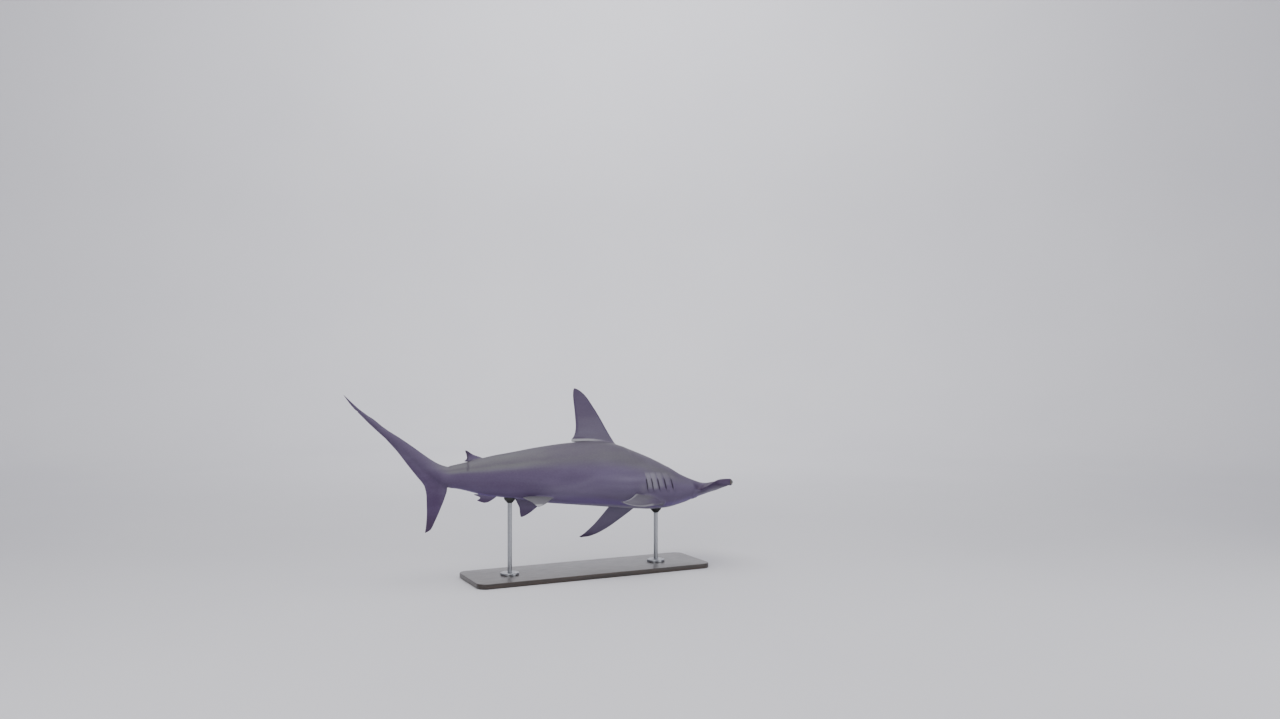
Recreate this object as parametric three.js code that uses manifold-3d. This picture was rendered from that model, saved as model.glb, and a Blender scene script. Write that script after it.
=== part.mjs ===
// A scalloped hammerhead shark at life size, swimming straight ahead and banked with its right side up,
// held over a flat base by two rods. Millimetres, +Z up. It swims toward +X and its right side faces -Y.
// The origin is the middle of the base's underside.
import * as THREE from 'three';
import { mergeVertices } from 'three/addons/utils/BufferGeometryUtils.js';
import Module from 'manifold-3d';

const wasm = await Module();
wasm.setup();

// Pose over the base
const AXIS_HEIGHT = 580;
const HELD_BEHIND = 900;
const BANK = THREE.MathUtils.degToRad(12);
const NOSE_DOWN = THREE.MathUtils.degToRad(1.5);
const GAP = 0.3;
const SLIVER = 0.04;
const LEFT = 1;
const RIGHT = -1;

// Body sections: distance behind the snout, height of back and belly over the body's axis, half width
const SECTIONS = [
  [75, -72, -122, 66],
  [115, -58, -134, 92],
  [160, -44, -146, 106],
  [268, 0, -180, 122],
  [389, 70, -204, 144],
  [475, 112, -207, 154],
  [562, 148, -202, 160],
  [660, 184, -194, 165],
  [760, 210, -185, 166],
  [880, 217, -174, 160],
  [1002, 211, -163, 150],
  [1213, 186, -142, 120],
  [1385, 157, -114, 92],
  [1485, 141, -101, 78],
  [1561, 125, -89, 66],
  [1666, 101, -61, 54],
  [1720, 90, -49, 48],
  [1774, 79, -43, 43],
];
const RING_POINTS = 44;
const SIDE_CROWDING = 0.18;
const FLANK_POWER = 0.95;
const WIDEST_BELOW_MIDDLE = 0.06;

// Where the body is parted, as distances behind the snout
const HEAD_END = 352;
const GILLS_END = 672;
const TRUNK_MIDDLE = 1075;
const TRUNK_END = 1440;
const TAIL_END = 1774;

// Gills: five slits a side, each under the rear edge of a flap that is taller than the slit
const GILLS = {
  slits: [386, 437, 485, 528, 565],
  middle: -68,
  slitHeight: 62,
  flapHeight: 96,
  fadeFrom: 0.72,
  fadeWidth: 0.42,
  flankGain: 1.6,
  slant: 0.17,
  slantStart: 30,
  slantEnd: 60,
  lead: 10,
  tail: 34,
};
// Rings along one flap and its slit: distance from the slit, lift off the flank and drag to the tail
const FLAP_RINGS = [
  { at: -22, lift: 1.3, drag: 0 },
  { at: -8, lift: 3.3, drag: 0 },
  { at: 0, lift: 4.2, drag: 6 },
  { at: 1.5, lift: -10, drag: -1 },
  { at: 12, lift: 0, drag: 0 },
];

// Hammer: half span, and its edges' distance behind the snout worked out from the side distance
const HAMMER = {
  halfSpan: 338,
  middleHeight: -95,
  tipHeight: -85,
  sweep: 62,
  sweepSide: 310,
  sweepPower: 2.2,
  rear: 188,
  rearSlope: 0.027,
  nape: 60,
  napeWidth: 85,
  thickness: 66,
  thinning: 18,
  thinningSide: 240,
  tilt: 0.12,
  tiltPivot: 110,
  rearLiftInner: -14,
  rearLiftOuter: 10,
  liftFrom: 120,
  liftWidth: 200,
  camberLength: 78,
  noseBlunting: 0.85,
  chordSteps: 9,
};
// Depth, side place and width of the notches in the hammer's front edge
const NOTCHES = [[13, 0, 26], [7, 152, 28], [6, 282, 15]];
// Where the front edge, the rear edge and the thickness start to round off at the tip, and how far
const TIP = { front: [308, 30], rear: [300, 46], thickness: [304, 30] };
const EYE = { radius: 20, behind: 84, side: 317, height: -85, flatness: 0.86 };
const LID = { thickness: 6, ahead: 2, out: 4, turn: 0.35, inset: 0.5 };
const MOUTH = {
  halfWidth: 86,
  front: 170,
  arch: 66,
  groove: 4.5,
  grooveDrop: 1,
  lip: 7,
  lipSpread: 10,
  lipSink: 3.5,
  cornerGather: 0.75,
};
const NOSTRIL = { inner: 246, outer: 300, radius: 5, drop: 5, inset: 1 };

// Stand
const BASE = { length: 1500, width: 440, height: 30, corner: 60, bevel: 4 };
const ROD_RADIUS = 13;
const FLANGE = { radius: 55, height: 12, chamfer: 3 };
const SADDLE = { radius: 34, height: 30, foot: 17, waist: 21, stock: 90 };
const ROD_PLACES = { front: 430, rear: 1395 };

// A smooth curve that never overshoots its points, as [at, value] pairs
function curve(points) {
  const last = points.length - 1;
  const slopes = [];
  for (let i = 0; i < last; i++) {
    slopes.push((points[i + 1][1] - points[i][1]) / (points[i + 1][0] - points[i][0]));
  }
  const tangents = points.map((point, i) => {
    if (i === 0) return slopes[0];
    if (i === last) return slopes[last - 1];
    if (slopes[i - 1] * slopes[i] <= 0) return 0;
    return 2 / (1 / slopes[i - 1] + 1 / slopes[i]);
  });
  return (at) => {
    const clamped = THREE.MathUtils.clamp(at, points[0][0], points[last][0]);
    let i = 0;
    while (i < last - 1 && clamped > points[i + 1][0]) i++;
    const [from, low] = points[i];
    const [to, high] = points[i + 1];
    const width = to - from;
    const t = (clamped - from) / width;
    const rise = (high - low) * t * t * (3 - 2 * t);
    const bend = tangents[i] * t * (1 - t) ** 2 + tangents[i + 1] * t * t * (t - 1);
    return low + rise + bend * width;
  };
}

const backHeight = curve(SECTIONS.map(([at, back]) => [at, back]));
const bellyHeight = curve(SECTIONS.map(([at, , belly]) => [at, belly]));
const halfWidth = curve(SECTIONS.map(([at, , , half]) => [at, half]));

const place = (behind, side, height) => new THREE.Vector3(HELD_BEHIND - behind, side, height);
const signedPower = (value, power) => Math.sign(value) * Math.abs(value) ** power;
const smoothStep = (t) => THREE.MathUtils.smoothstep(t, 0, 1);
const hump = (value, centre, width) => Math.exp(-(((value - centre) / width) ** 2));
const spread = (from, to, count) =>
  Array.from({ length: count + 1 }, (_, i) => from + ((to - from) * i) / count);

// A closed solid through rings of equal length, with a fan at each end
function loft(rings) {
  const count = rings[0].length;
  const points = rings.flat();
  const faces = [];
  for (let ring = 0; ring < rings.length - 1; ring++) {
    for (let i = 0; i < count; i++) {
      const here = ring * count + i;
      const next = ring * count + (i + 1) % count;
      faces.push(here, next, next + count, here, next + count, here + count);
    }
  }
  const addCap = (ring, flip) => {
    const centre = points.length;
    const middle = new THREE.Vector3();
    rings[ring].forEach((point) => middle.add(point));
    points.push(middle.divideScalar(count));
    for (let i = 0; i < count; i++) {
      const here = ring * count + i;
      const next = ring * count + (i + 1) % count;
      if (flip) faces.push(centre, here, next);
      else faces.push(centre, next, here);
    }
  };
  addCap(0, false);
  addCap(rings.length - 1, true);
  return solidFrom(points.flatMap((point) => point.toArray()), faces);
}

// A manifold solid from plain arrays, turned right side out
function solidFrom(positions, faces) {
  let volume = 0;
  const corner = (index) => new THREE.Vector3().fromArray(positions, index * 3);
  for (let i = 0; i < faces.length; i += 3) {
    volume += corner(faces[i]).dot(corner(faces[i + 1]).cross(corner(faces[i + 2])));
  }
  if (volume < 0) faces.reverse();
  const vertProperties = new Float32Array(positions);
  const triVerts = new Uint32Array(faces);
  return new wasm.Manifold(new wasm.Mesh({ numProp: 3, vertProperties, triVerts }));
}

// A manifold solid from a three.js geometry, after an optional placing
function solidOf(geometry, matrix = new THREE.Matrix4()) {
  geometry.deleteAttribute('normal');
  geometry.deleteAttribute('uv');
  const merged = mergeVertices(geometry.applyMatrix4(matrix), 1e-3);
  return solidFrom([...merged.attributes.position.array], [...merged.index.array]);
}

// A cut or joined solid without the slivers that the cut leaves
const cleaned = (solid) => solid.asOriginal().simplify(SLIVER);
const bigger = (one, other) => (other.volume() > one.volume() ? other : one);
const largest = (solid) => cleaned(solid.decompose().reduce(bigger));

function geometryOf(solid) {
  const mesh = solid.getMesh();
  const geometry = new THREE.BufferGeometry();
  geometry.setAttribute('position', new THREE.BufferAttribute(mesh.vertProperties, 3));
  geometry.setIndex(new THREE.BufferAttribute(mesh.triVerts, 1));
  return geometry;
}

// How much a height belongs to a band round the gills' middle, from 0 to 1
function gillBand(height, tall) {
  const offset = Math.abs(height - GILLS.middle) / (tall / 2);
  return 1 - smoothStep((offset - GILLS.fadeFrom) / GILLS.fadeWidth);
}

// One ring round the body. A lift above 0 raises the gill flaps, one below 0 sinks the slits, and drag
// carries the flaps' band toward the tail. The slits lean, so rings of the gill region do too.
function bodyRing(behind, { grow = 0, lift = 0, drag = 0 } = {}) {
  const back = backHeight(behind);
  const belly = bellyHeight(behind);
  const half = halfWidth(behind);
  const middle = (back + belly) / 2 - WIDEST_BELOW_MIDDLE * (back - belly);
  const tall = lift < 0 ? GILLS.slitHeight : GILLS.flapHeight;
  const leanIn = smoothStep((behind - HEAD_END) / GILLS.slantStart);
  const leanOut = smoothStep((GILLS_END - behind) / GILLS.slantEnd);
  return spread(0, 2 * Math.PI, RING_POINTS).slice(0, RING_POINTS).map((turn) => {
    const angle = turn - SIDE_CROWDING * Math.sin(2 * turn);
    const out = Math.cos(angle);
    const up = Math.sin(angle);
    const reach = up > 0 ? back - middle : middle - belly;
    const height = middle + (reach + grow) * up;
    const band = gillBand(height, tall) * Math.min(1, Math.abs(out) * GILLS.flankGain);
    const side = (half + grow) * signedPower(out, FLANK_POWER) + Math.sign(out) * lift * band;
    const lean = GILLS.slant * (GILLS.middle - height) * leanIn * leanOut * Math.abs(out);
    return place(behind - lean + drag * band, side, height);
  });
}

function bodyLength(from, to, count) {
  return loft(spread(from + GAP / 2, to - GAP / 2, count).map((behind) => bodyRing(behind)));
}

// Rings of the gill region, with a rising flap, its overhanging edge and the slit's floor at each slit
function gillRings(grow = 0) {
  const plain = (behind) => bodyRing(behind, { grow });
  const rings = [plain(HEAD_END + GAP / 2), plain(HEAD_END + GILLS.lead)];
  for (const slit of GILLS.slits) {
    rings.push(...FLAP_RINGS.map(({ at, ...form }) => bodyRing(slit + at, { grow, ...form })));
  }
  rings.push(...spread(GILLS.slits.at(-1) + GILLS.tail, GILLS_END - GAP / 2, 3).map(plain));
  return rings;
}

// How far an edge has turned in at the hammer's tip: a quarter ellipse that starts at a side distance
function tipRound(side, [start, depth]) {
  const t = Math.max(0, (side - start) / (HAMMER.halfSpan + 1 - start));
  return depth * (1 - Math.sqrt(1 - t * t));
}

// The hammer's front edge: an arch with a notch in the middle, one part way out and one at each nostril
function hammerFront(side) {
  const arch = HAMMER.sweep * (side / HAMMER.sweepSide) ** HAMMER.sweepPower;
  const cuts = NOTCHES.reduce((sum, [depth, centre, width]) => sum + depth * hump(side, centre, width), 0);
  return arch + cuts + tipRound(side, TIP.front);
}

function hammerRear(side) {
  const nape = HAMMER.nape * hump(side, 0, HAMMER.napeWidth);
  return HAMMER.rear + nape - HAMMER.rearSlope * side - tipRound(side, TIP.rear);
}

function hammerThickness(side) {
  const thinned = HAMMER.thinning * smoothStep(side / HAMMER.thinningSide);
  return HAMMER.thickness - thinned - tipRound(side, TIP.thickness);
}

// The wing's middle plane, whose rear edge is carried low beside the neck and high toward the tip
function hammerHeight(behind, side) {
  const { lerp } = THREE.MathUtils;
  const level = lerp(HAMMER.middleHeight, HAMMER.tipHeight, side / HAMMER.halfSpan);
  const outward = smoothStep((side - HAMMER.liftFrom) / HAMMER.liftWidth);
  const rearLift = lerp(HAMMER.rearLiftInner, HAMMER.rearLiftOuter, outward);
  const camber = rearLift * smoothStep((behind - HAMMER.tiltPivot) / HAMMER.camberLength);
  return level + HAMMER.tilt * (HAMMER.tiltPivot - behind) + camber;
}

// Half thickness of a rounded section, as a share, at a share of its chord
const roundSection = (t) => Math.sqrt(Math.max(0, 1 - (1 - 2 * t) ** 2));
// Shares of a chord that lie closer together at both ends
const chordShares = (steps) => spread(0, Math.PI, steps).map((turn) => (1 - Math.cos(turn)) / 2);

// The hammer, lofted along its span through rounded, blunt-nosed sections
function hammerSolid() {
  const inner = [0, 14, 28, 45, 65, 90, 115, 137, 152, 167, 190, 215, 240, 262];
  const outer = [274, 282, 290, 300, 310, 319, 327, 333, 337, HAMMER.halfSpan];
  const sides = [...inner, ...outer];
  const stations = [...sides.slice(1).reverse().map((side) => -side), ...sides];
  const rings = stations.map((station) => {
    const side = Math.abs(station);
    const front = hammerFront(side);
    const chord = hammerRear(side) - front;
    const top = [];
    const under = [];
    for (const t of chordShares(HAMMER.chordSteps)) {
      const bulge = roundSection(t) ** (t < 0.5 ? HAMMER.noseBlunting : 1);
      const behind = front + chord * t;
      const half = 0.5 * hammerThickness(side) * bulge;
      const height = hammerHeight(behind, side);
      top.push(place(behind, station, height + half));
      under.unshift(place(behind, station, height - half));
    }
    return [...top, ...under.slice(1, -1)];
  });
  return loft(rings);
}

// The lowest surface of the head at a point of its underside
function headUnderside(behind, side) {
  const back = backHeight(behind);
  const belly = bellyHeight(behind);
  const middle = (back + belly) / 2 - WIDEST_BELOW_MIDDLE * (back - belly);
  const out = Math.min(1, (side / halfWidth(behind)) ** (1 / FLANK_POWER));
  const neck = middle - (middle - belly) * Math.sqrt(1 - out * out);
  const front = hammerFront(side);
  const t = (behind - front) / (hammerRear(side) - front);
  return Math.min(neck, hammerHeight(behind, side) - 0.5 * hammerThickness(side) * roundSection(t));
}

// A round bar along a path of points
function bar(points, radius, steps) {
  const turns = spread(0, 2 * Math.PI, 6).slice(0, 6);
  const corners = turns.map((turn) => new THREE.Vector2(radius * Math.cos(turn), radius * Math.sin(turn)));
  const section = new THREE.Shape(corners);
  const extrudePath = new THREE.CatmullRomCurve3(points);
  return solidOf(new THREE.ExtrudeGeometry(section, { steps, extrudePath, bevelEnabled: false }));
}

// The mouth's arc on the underside, moved forward or back by shift and down by drop
function mouthPath(shift, drop) {
  return spread(-1, 1, 12).map((t) => {
    const side = MOUTH.halfWidth * t;
    const behind = MOUTH.front + MOUTH.arch * t * t;
    const gathered = shift * (1 - MOUTH.cornerGather * t * t);
    return place(behind + gathered, side, headUnderside(behind, Math.abs(side)) - drop);
  });
}

// A nostril: a slit along the front edge just inside the eye
function nostril(flank) {
  const path = spread(NOSTRIL.inner, NOSTRIL.outer, 5).map((side) => {
    const front = hammerFront(side);
    return place(front + NOSTRIL.inset, flank * side, hammerHeight(front, side) - NOSTRIL.drop);
  });
  return bar(path, NOSTRIL.radius, 8);
}

const eyeCentre = (flank) => place(EYE.behind, flank * EYE.side, EYE.height);

function eyeBall(flank, grow) {
  const matrix = new THREE.Matrix4().makeTranslation(eyeCentre(flank));
  matrix.multiply(new THREE.Matrix4().makeScale(1, 1, EYE.flatness));
  return solidOf(new THREE.SphereGeometry(EYE.radius + grow, 16, 12), matrix);
}

// The lid: a ring of flesh that holds the eyeball's rim
function eyeLid(flank) {
  const centre = eyeCentre(flank).add(new THREE.Vector3(LID.ahead, flank * LID.out, 0));
  const matrix = new THREE.Matrix4().makeTranslation(centre);
  matrix.multiply(new THREE.Matrix4().makeRotationZ(-flank * LID.turn));
  matrix.multiply(new THREE.Matrix4().makeScale(1, 1, EYE.flatness));
  matrix.multiply(new THREE.Matrix4().makeRotationX(Math.PI / 2));
  return solidOf(new THREE.TorusGeometry(EYE.radius - LID.inset, LID.thickness, 6, 16), matrix);
}

function headSolid() {
  const neck = loft(spread(SECTIONS[0][0], HEAD_END - GAP / 2, 10).map((behind) => bodyRing(behind)));
  let head = neck.add(hammerSolid());
  head = head.add(bar(mouthPath(-MOUTH.lipSpread, -MOUTH.lipSink), MOUTH.lip, 18));
  head = head.add(bar(mouthPath(MOUTH.lipSpread, -MOUTH.lipSink), MOUTH.lip, 18));
  head = head.subtract(bar(mouthPath(0, MOUTH.grooveDrop), MOUTH.groove, 20));
  for (const flank of [LEFT, RIGHT]) {
    head = head.add(eyeLid(flank)).subtract(eyeBall(flank, GAP)).subtract(nostril(flank));
  }
  return largest(head);
}

const BLADE = { edgeHalf: 0.9, steps: 8, leastWidth: 3, thickestShare: 0.6 };
const FOIL = [0.2969, -0.126, -0.3516, 0.2843, -0.1036];

// Half thickness of an aerofoil of thickness 1 at a part of its chord
function foil(t) {
  const powers = [Math.sqrt(t), t, t ** 2, t ** 3, t ** 4];
  return 5 * powers.reduce((sum, power, i) => sum + FOIL[i] * power, 0);
}

// A ring round a blade's section, from its blunt edge to its thin one and back
function bladeRing(pointAt, thickness) {
  const near = [];
  const far = [];
  for (const t of chordShares(BLADE.steps)) {
    const half = foil(t) * thickness + BLADE.edgeHalf * t;
    near.push(pointAt(t, half));
    far.unshift(pointAt(t, -half));
  }
  return [...near, ...far.slice(0, -1)];
}

// One fin. Its base starts at root, its chord runs along chord and its span along rise. front and rear
// give the two edges along the chord for a distance out along the span.
function finSolid({ root, chord, rise, front, rear, sink, thickness, tipThickness, levels }) {
  const along = chord.clone().normalize();
  const out = rise.clone().addScaledVector(along, -rise.dot(along)).normalize();
  const across = new THREE.Vector3().crossVectors(along, out);
  const span = levels.at(-1);
  const frontAt = curve(front);
  const rearAt = curve(rear);
  const rings = [-sink, ...levels].map((level) => {
    const height = Math.max(0, level);
    const start = frontAt(height);
    const width = Math.max(BLADE.leastWidth, rearAt(height) - start);
    const wanted = THREE.MathUtils.lerp(thickness, tipThickness, height / span);
    const pointAt = (t, half) => root.clone().addScaledVector(along, start + width * t)
      .addScaledVector(out, level).addScaledVector(across, half);
    return bladeRing(pointAt, Math.min(wanted, BLADE.thickestShare * width));
  });
  return loft(rings);
}

// Turns a fin's chord and span together in the fin's own plane, so that it points further back
function swept(chord, rise, angle) {
  const along = chord.clone().normalize();
  const out = rise.clone().addScaledVector(along, -rise.dot(along)).normalize();
  return {
    chord: along.clone().multiplyScalar(Math.cos(angle)).addScaledVector(out, -Math.sin(angle)),
    rise: out.clone().multiplyScalar(Math.cos(angle)).addScaledVector(along, Math.sin(angle)),
  };
}

const DORSAL_FIRST = {
  root: place(702, 0, backHeight(822) - 8),
  chord: new THREE.Vector3(-1, 0, 0),
  rise: new THREE.Vector3(0, 0, 1),
  front: [[0, 0], [75, 44], [161, 90], [242, 139], [301, 181], [334, 222], [343, 244]],
  rear: [[0, 180], [7, 250], [12, 288], [22, 287], [42, 272], [72, 259], [120, 253], [200, 255], [288, 260],
    [330, 256], [343, 250]],
  levels: [0, 7, 12, 22, 42, 72, 110, 150, 195, 240, 280, 310, 330, 340, 343],
  sink: 45,
  thickness: 32,
  tipThickness: 8,
};
const DORSAL_SECOND = {
  root: place(1556, 0, backHeight(1556) - 2),
  chord: new THREE.Vector3(-1, 0, -0.2),
  rise: new THREE.Vector3(0, 0, 1),
  front: [[0, 0], [10, 12], [20, 29], [32, 49], [46, 65], [58, 76], [66, 86]],
  rear: [[0, 92], [4, 108], [8, 110], [14, 100], [24, 92], [44, 91], [58, 93], [66, 93]],
  levels: [0, 4, 8, 14, 24, 34, 46, 58, 64, 66],
  sink: 22,
  thickness: 14,
  tipThickness: 5,
};
const ANAL_FIN = {
  root: place(1480, 0, bellyHeight(1480) + 2),
  chord: new THREE.Vector3(-1, 0, 0.14),
  rise: new THREE.Vector3(0, 0, -1),
  front: [[0, 0], [12, 11], [24, 25], [34, 39], [42, 54], [46, 68]],
  rear: [[0, 112], [4, 136], [7, 138], [12, 116], [19, 99], [26, 102], [32, 110], [37, 116], [42, 100],
    [46, 76]],
  levels: [0, 4, 7, 12, 19, 26, 32, 37, 42, 45, 46],
  sink: 22,
  thickness: 14,
  tipThickness: 5,
};
const PECTORAL = {
  toeIn: 0.05,
  front: [[0, 0], [69, 40], [139, 86], [208, 134], [266, 183], [312, 238], [336, 289]],
  rear: [[0, 158], [14, 178], [28, 187], [44, 185], [69, 188], [116, 203], [174, 222], [231, 243], [277, 265],
    [312, 285], [336, 304]],
  levels: [0, 14, 28, 44, 69, 98, 128, 160, 192, 224, 254, 282, 306, 322, 332, 336],
  sink: 54,
  thickness: 34,
  tipThickness: 8,
};
const PELVIC = {
  behind: 1137,
  side: 58,
  height: -118,
  toeIn: 0.1,
  front: [[0, 0], [46, 45], [92, 86], [120, 117], [132, 137]],
  rear: [[0, 145], [11, 178], [25, 207], [46, 193], [81, 167], [110, 157], [132, 147]],
  levels: [0, 11, 25, 46, 69, 92, 112, 126, 132],
  sink: 26,
  thickness: 16,
  tipThickness: 5,
};
// How each paired fin is held, in radians: droop under the level, incline of the chord and sweep. The
// right pectoral fin is pressed down and forward at its root, and the left one is raised.
const PECTORAL_HOLD = {
  [RIGHT]: { behind: 446, side: 99, height: -183, droop: 0.675, incline: 0.484, sweep: 0.094 },
  [LEFT]: { behind: 482, side: 119, height: -149, droop: 1.124, incline: 0.314, sweep: -0.015 },
};
const PELVIC_HOLD = {
  [RIGHT]: { droop: 0.572, incline: 0.108, sweep: -0.091 },
  [LEFT]: { droop: 1.17, incline: 0.251, sweep: -0.117 },
};

// One fin of a pair, from the form that both share and how its own side is held
function pairedSolid(flank, fin, hold) {
  const { behind, side, height, toeIn, droop, incline, sweep, ...form } = { ...fin, ...hold };
  const chord = new THREE.Vector3(-1, -flank * toeIn, Math.tan(incline));
  const rise = new THREE.Vector3(0, flank * Math.cos(droop), -Math.sin(droop));
  return finSolid({ ...form, root: place(behind, flank * side, height), ...swept(chord, rise, sweep) });
}

// Tail fin: distances behind the tail stalk's end, and heights over the body's axis
const TAIL_CORE = [
  [0, 79, -43, 43],
  [40, 92, -32, 36],
  [90, 122, 3, 27],
  [150, 163, 62, 20],
  [230, 221, 138, 15],
  [330, 289, 228, 11],
  [430, 365, 322, 8],
  [500, 418, 394, 5],
];
// The core's sections turn from round to pointed above and below, to run out into the blades
const CORE_POINTED = { power: 1.7, from: 150, level: 90 };
const CORE_STATIONS = [GAP / 2, 20, 40, 65, 90, 120, 150, 190, 230, 280, 330, 430, 500];
const TAIL_TOP = [[0, 79], [47, 96], [127, 149], [195, 199], [268, 250], [353, 306], [413, 356], [455, 383],
  [493, 414], [575, 493]];
const TAIL_REAR = [[0, -70], [124, -60], [132, -31], [174, 26], [222, 88], [282, 169], [342, 238], [413, 318],
  [468, 380], [486, 402], [500, 400], [530, 427], [575, 489]];
const UPPER_STATIONS = [4, 40, 85, 124, 132, 150, 174, 198, 222, 252, 282, 312, 342, 378, 413, 440, 468, 478,
  486, 500, 515, 530, 552, 568, 575];
const LOBE_FRONT = [[-293, 133], [-277, 104], [-238, 81], [-163, 44], [-99, 16], [-50, 1], [0, 1]];
const LOBE_REAR = [[-293, 137], [-252, 129], [-160, 122], [-92, 122], [-31, 131], [0, 150]];
const LOBE_LEVELS = [0, -31, -62, -99, -130, -163, -200, -238, -260, -277, -288, -293];
const TAIL_THICKNESS = { upperRoot: 17, upperTip: 7, lowerRoot: 18, lowerTip: 6 };
const TAIL_RING_POINTS = 28;
// The cut between the lobes: a thin sloping box
const TAIL_CUT = { fromHeight: -45, toHeight: -33, toBehind: 134, length: 170, middle: 70, width: 200 };

function tailCore() {
  const column = (index) => curve(TAIL_CORE.map((row) => [row[0], row[index]]));
  const [topAt, bottomAt, halfAt] = [1, 2, 3].map(column);
  return loft(CORE_STATIONS.map((behind) => {
    const top = topAt(behind);
    const bottom = bottomAt(behind);
    const drop = WIDEST_BELOW_MIDDLE * Math.max(0, 1 - behind / CORE_POINTED.level);
    const middle = (top + bottom) / 2 - drop * (top - bottom);
    const pointed = smoothStep(behind / CORE_POINTED.from);
    const power = THREE.MathUtils.lerp(FLANK_POWER, CORE_POINTED.power, pointed);
    return spread(0, 2 * Math.PI, TAIL_RING_POINTS).slice(0, TAIL_RING_POINTS).map((turn) => {
      const angle = turn - SIDE_CROWDING * Math.sin(2 * turn);
      const up = Math.sin(angle);
      const reach = up > 0 ? top - middle : middle - bottom;
      const side = halfAt(behind) * signedPower(Math.cos(angle), power);
      return place(TAIL_END + behind, side, middle + reach * up);
    });
  }));
}

function tailUpperBlade() {
  const topAt = curve(TAIL_TOP);
  const rearAt = curve(TAIL_REAR);
  const { upperRoot, upperTip } = TAIL_THICKNESS;
  return loft(UPPER_STATIONS.map((behind) => {
    const high = topAt(behind) - 1;
    const low = rearAt(behind);
    const wanted = THREE.MathUtils.lerp(upperRoot, upperTip, behind / UPPER_STATIONS.at(-1));
    const pointAt = (t, half) => place(TAIL_END + behind, half, high + (low - high) * t);
    return bladeRing(pointAt, Math.min(wanted, BLADE.thickestShare * (high - low)));
  }));
}

function tailLowerBlade() {
  const frontAt = curve(LOBE_FRONT);
  const rearAt = curve(LOBE_REAR);
  const { lowerRoot, lowerTip } = TAIL_THICKNESS;
  return loft(LOBE_LEVELS.map((height) => {
    const start = frontAt(height);
    const width = rearAt(height) - start;
    const wanted = THREE.MathUtils.lerp(lowerRoot, lowerTip, height / LOBE_LEVELS.at(-1));
    const pointAt = (t, half) => place(TAIL_END + start + width * t, half, height);
    return bladeRing(pointAt, Math.min(wanted, BLADE.thickestShare * width));
  }));
}

// The whole tail fin, parted into its upper and lower lobes by a thin sloping cut
function tailFinSolids() {
  const whole = tailCore().add(tailUpperBlade()).add(tailLowerBlade());
  const { fromHeight, toHeight, toBehind, length, middle, width } = TAIL_CUT;
  const slope = (toHeight - fromHeight) / toBehind;
  const centre = place(TAIL_END + middle, 0, fromHeight + slope * middle);
  const matrix = new THREE.Matrix4().makeTranslation(centre);
  matrix.multiply(new THREE.Matrix4().makeRotationY(Math.atan(slope)));
  const pieces = whole.subtract(solidOf(new THREE.BoxGeometry(length, width, GAP), matrix)).decompose();
  const [upper, lower] = pieces.sort((one, other) => other.volume() - one.volume());
  return { upper: cleaned(upper), lower: cleaned(lower) };
}

// The whole body a little grown, to cut the fins' roots clear of it
function grownBody(grow) {
  const plain = (behind) => bodyRing(behind, { grow });
  const head = spread(SECTIONS[0][0], HEAD_END, 12).map(plain);
  const trunk = spread(GILLS_END, TAIL_END, 46).map(plain);
  return loft([...head, ...gillRings(grow), ...trunk]);
}

const GROWN_BODY = grownBody(2 * GAP);
const cutToBody = (solid) => largest(solid.subtract(GROWN_BODY));

function shaded(name, geometry, color, roughness = 0.55, metalness = 0) {
  const mesh = new THREE.Mesh(geometry, new THREE.MeshStandardMaterial({ color, roughness, metalness }));
  mesh.name = name;
  return mesh;
}

// Stand pieces
function baseGeometry() {
  const { length, width, height, corner, bevel } = BASE;
  const x = length / 2 - bevel;
  const y = width / 2 - bevel;
  const outline = new THREE.Shape();
  outline.moveTo(-x + corner, -y);
  outline.lineTo(x - corner, -y);
  outline.absarc(x - corner, -y + corner, corner, -Math.PI / 2, 0);
  outline.absarc(x - corner, y - corner, corner, 0, Math.PI / 2);
  outline.absarc(-x + corner, y - corner, corner, Math.PI / 2, Math.PI);
  outline.absarc(-x + corner, -y + corner, corner, Math.PI, 1.5 * Math.PI);
  const settings = {
    depth: height - 2 * bevel,
    bevelSize: bevel,
    bevelThickness: bevel,
    bevelSegments: 2,
    curveSegments: 8,
  };
  return new THREE.ExtrudeGeometry(outline, settings).translate(0, 0, bevel);
}

// A turned solid about an upright axis, from [radius, height] pairs that start and end on the axis
function turned(profile, sides, x, z) {
  const points = profile.map(([radius, height]) => new THREE.Vector2(radius, height));
  const matrix = new THREE.Matrix4().makeTranslation(x, 0, z);
  matrix.multiply(new THREE.Matrix4().makeRotationX(Math.PI / 2));
  return solidOf(new THREE.LatheGeometry(points, sides), matrix);
}

// The body as it hangs over the stand, to cut the saddles to its belly
const POSE = new THREE.Matrix4().makeTranslation(0, 0, AXIS_HEIGHT)
  .multiply(new THREE.Matrix4().makeRotationY(NOSE_DOWN))
  .multiply(new THREE.Matrix4().makeRotationX(-BANK));
const POSED_BODY = solidOf(geometryOf(GROWN_BODY).toNonIndexed(), POSE);

const shark = new THREE.Group();
shark.position.set(0, 0, AXIS_HEIGHT);
shark.rotation.set(-BANK, NOSE_DOWN, 0, 'YXZ');

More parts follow.
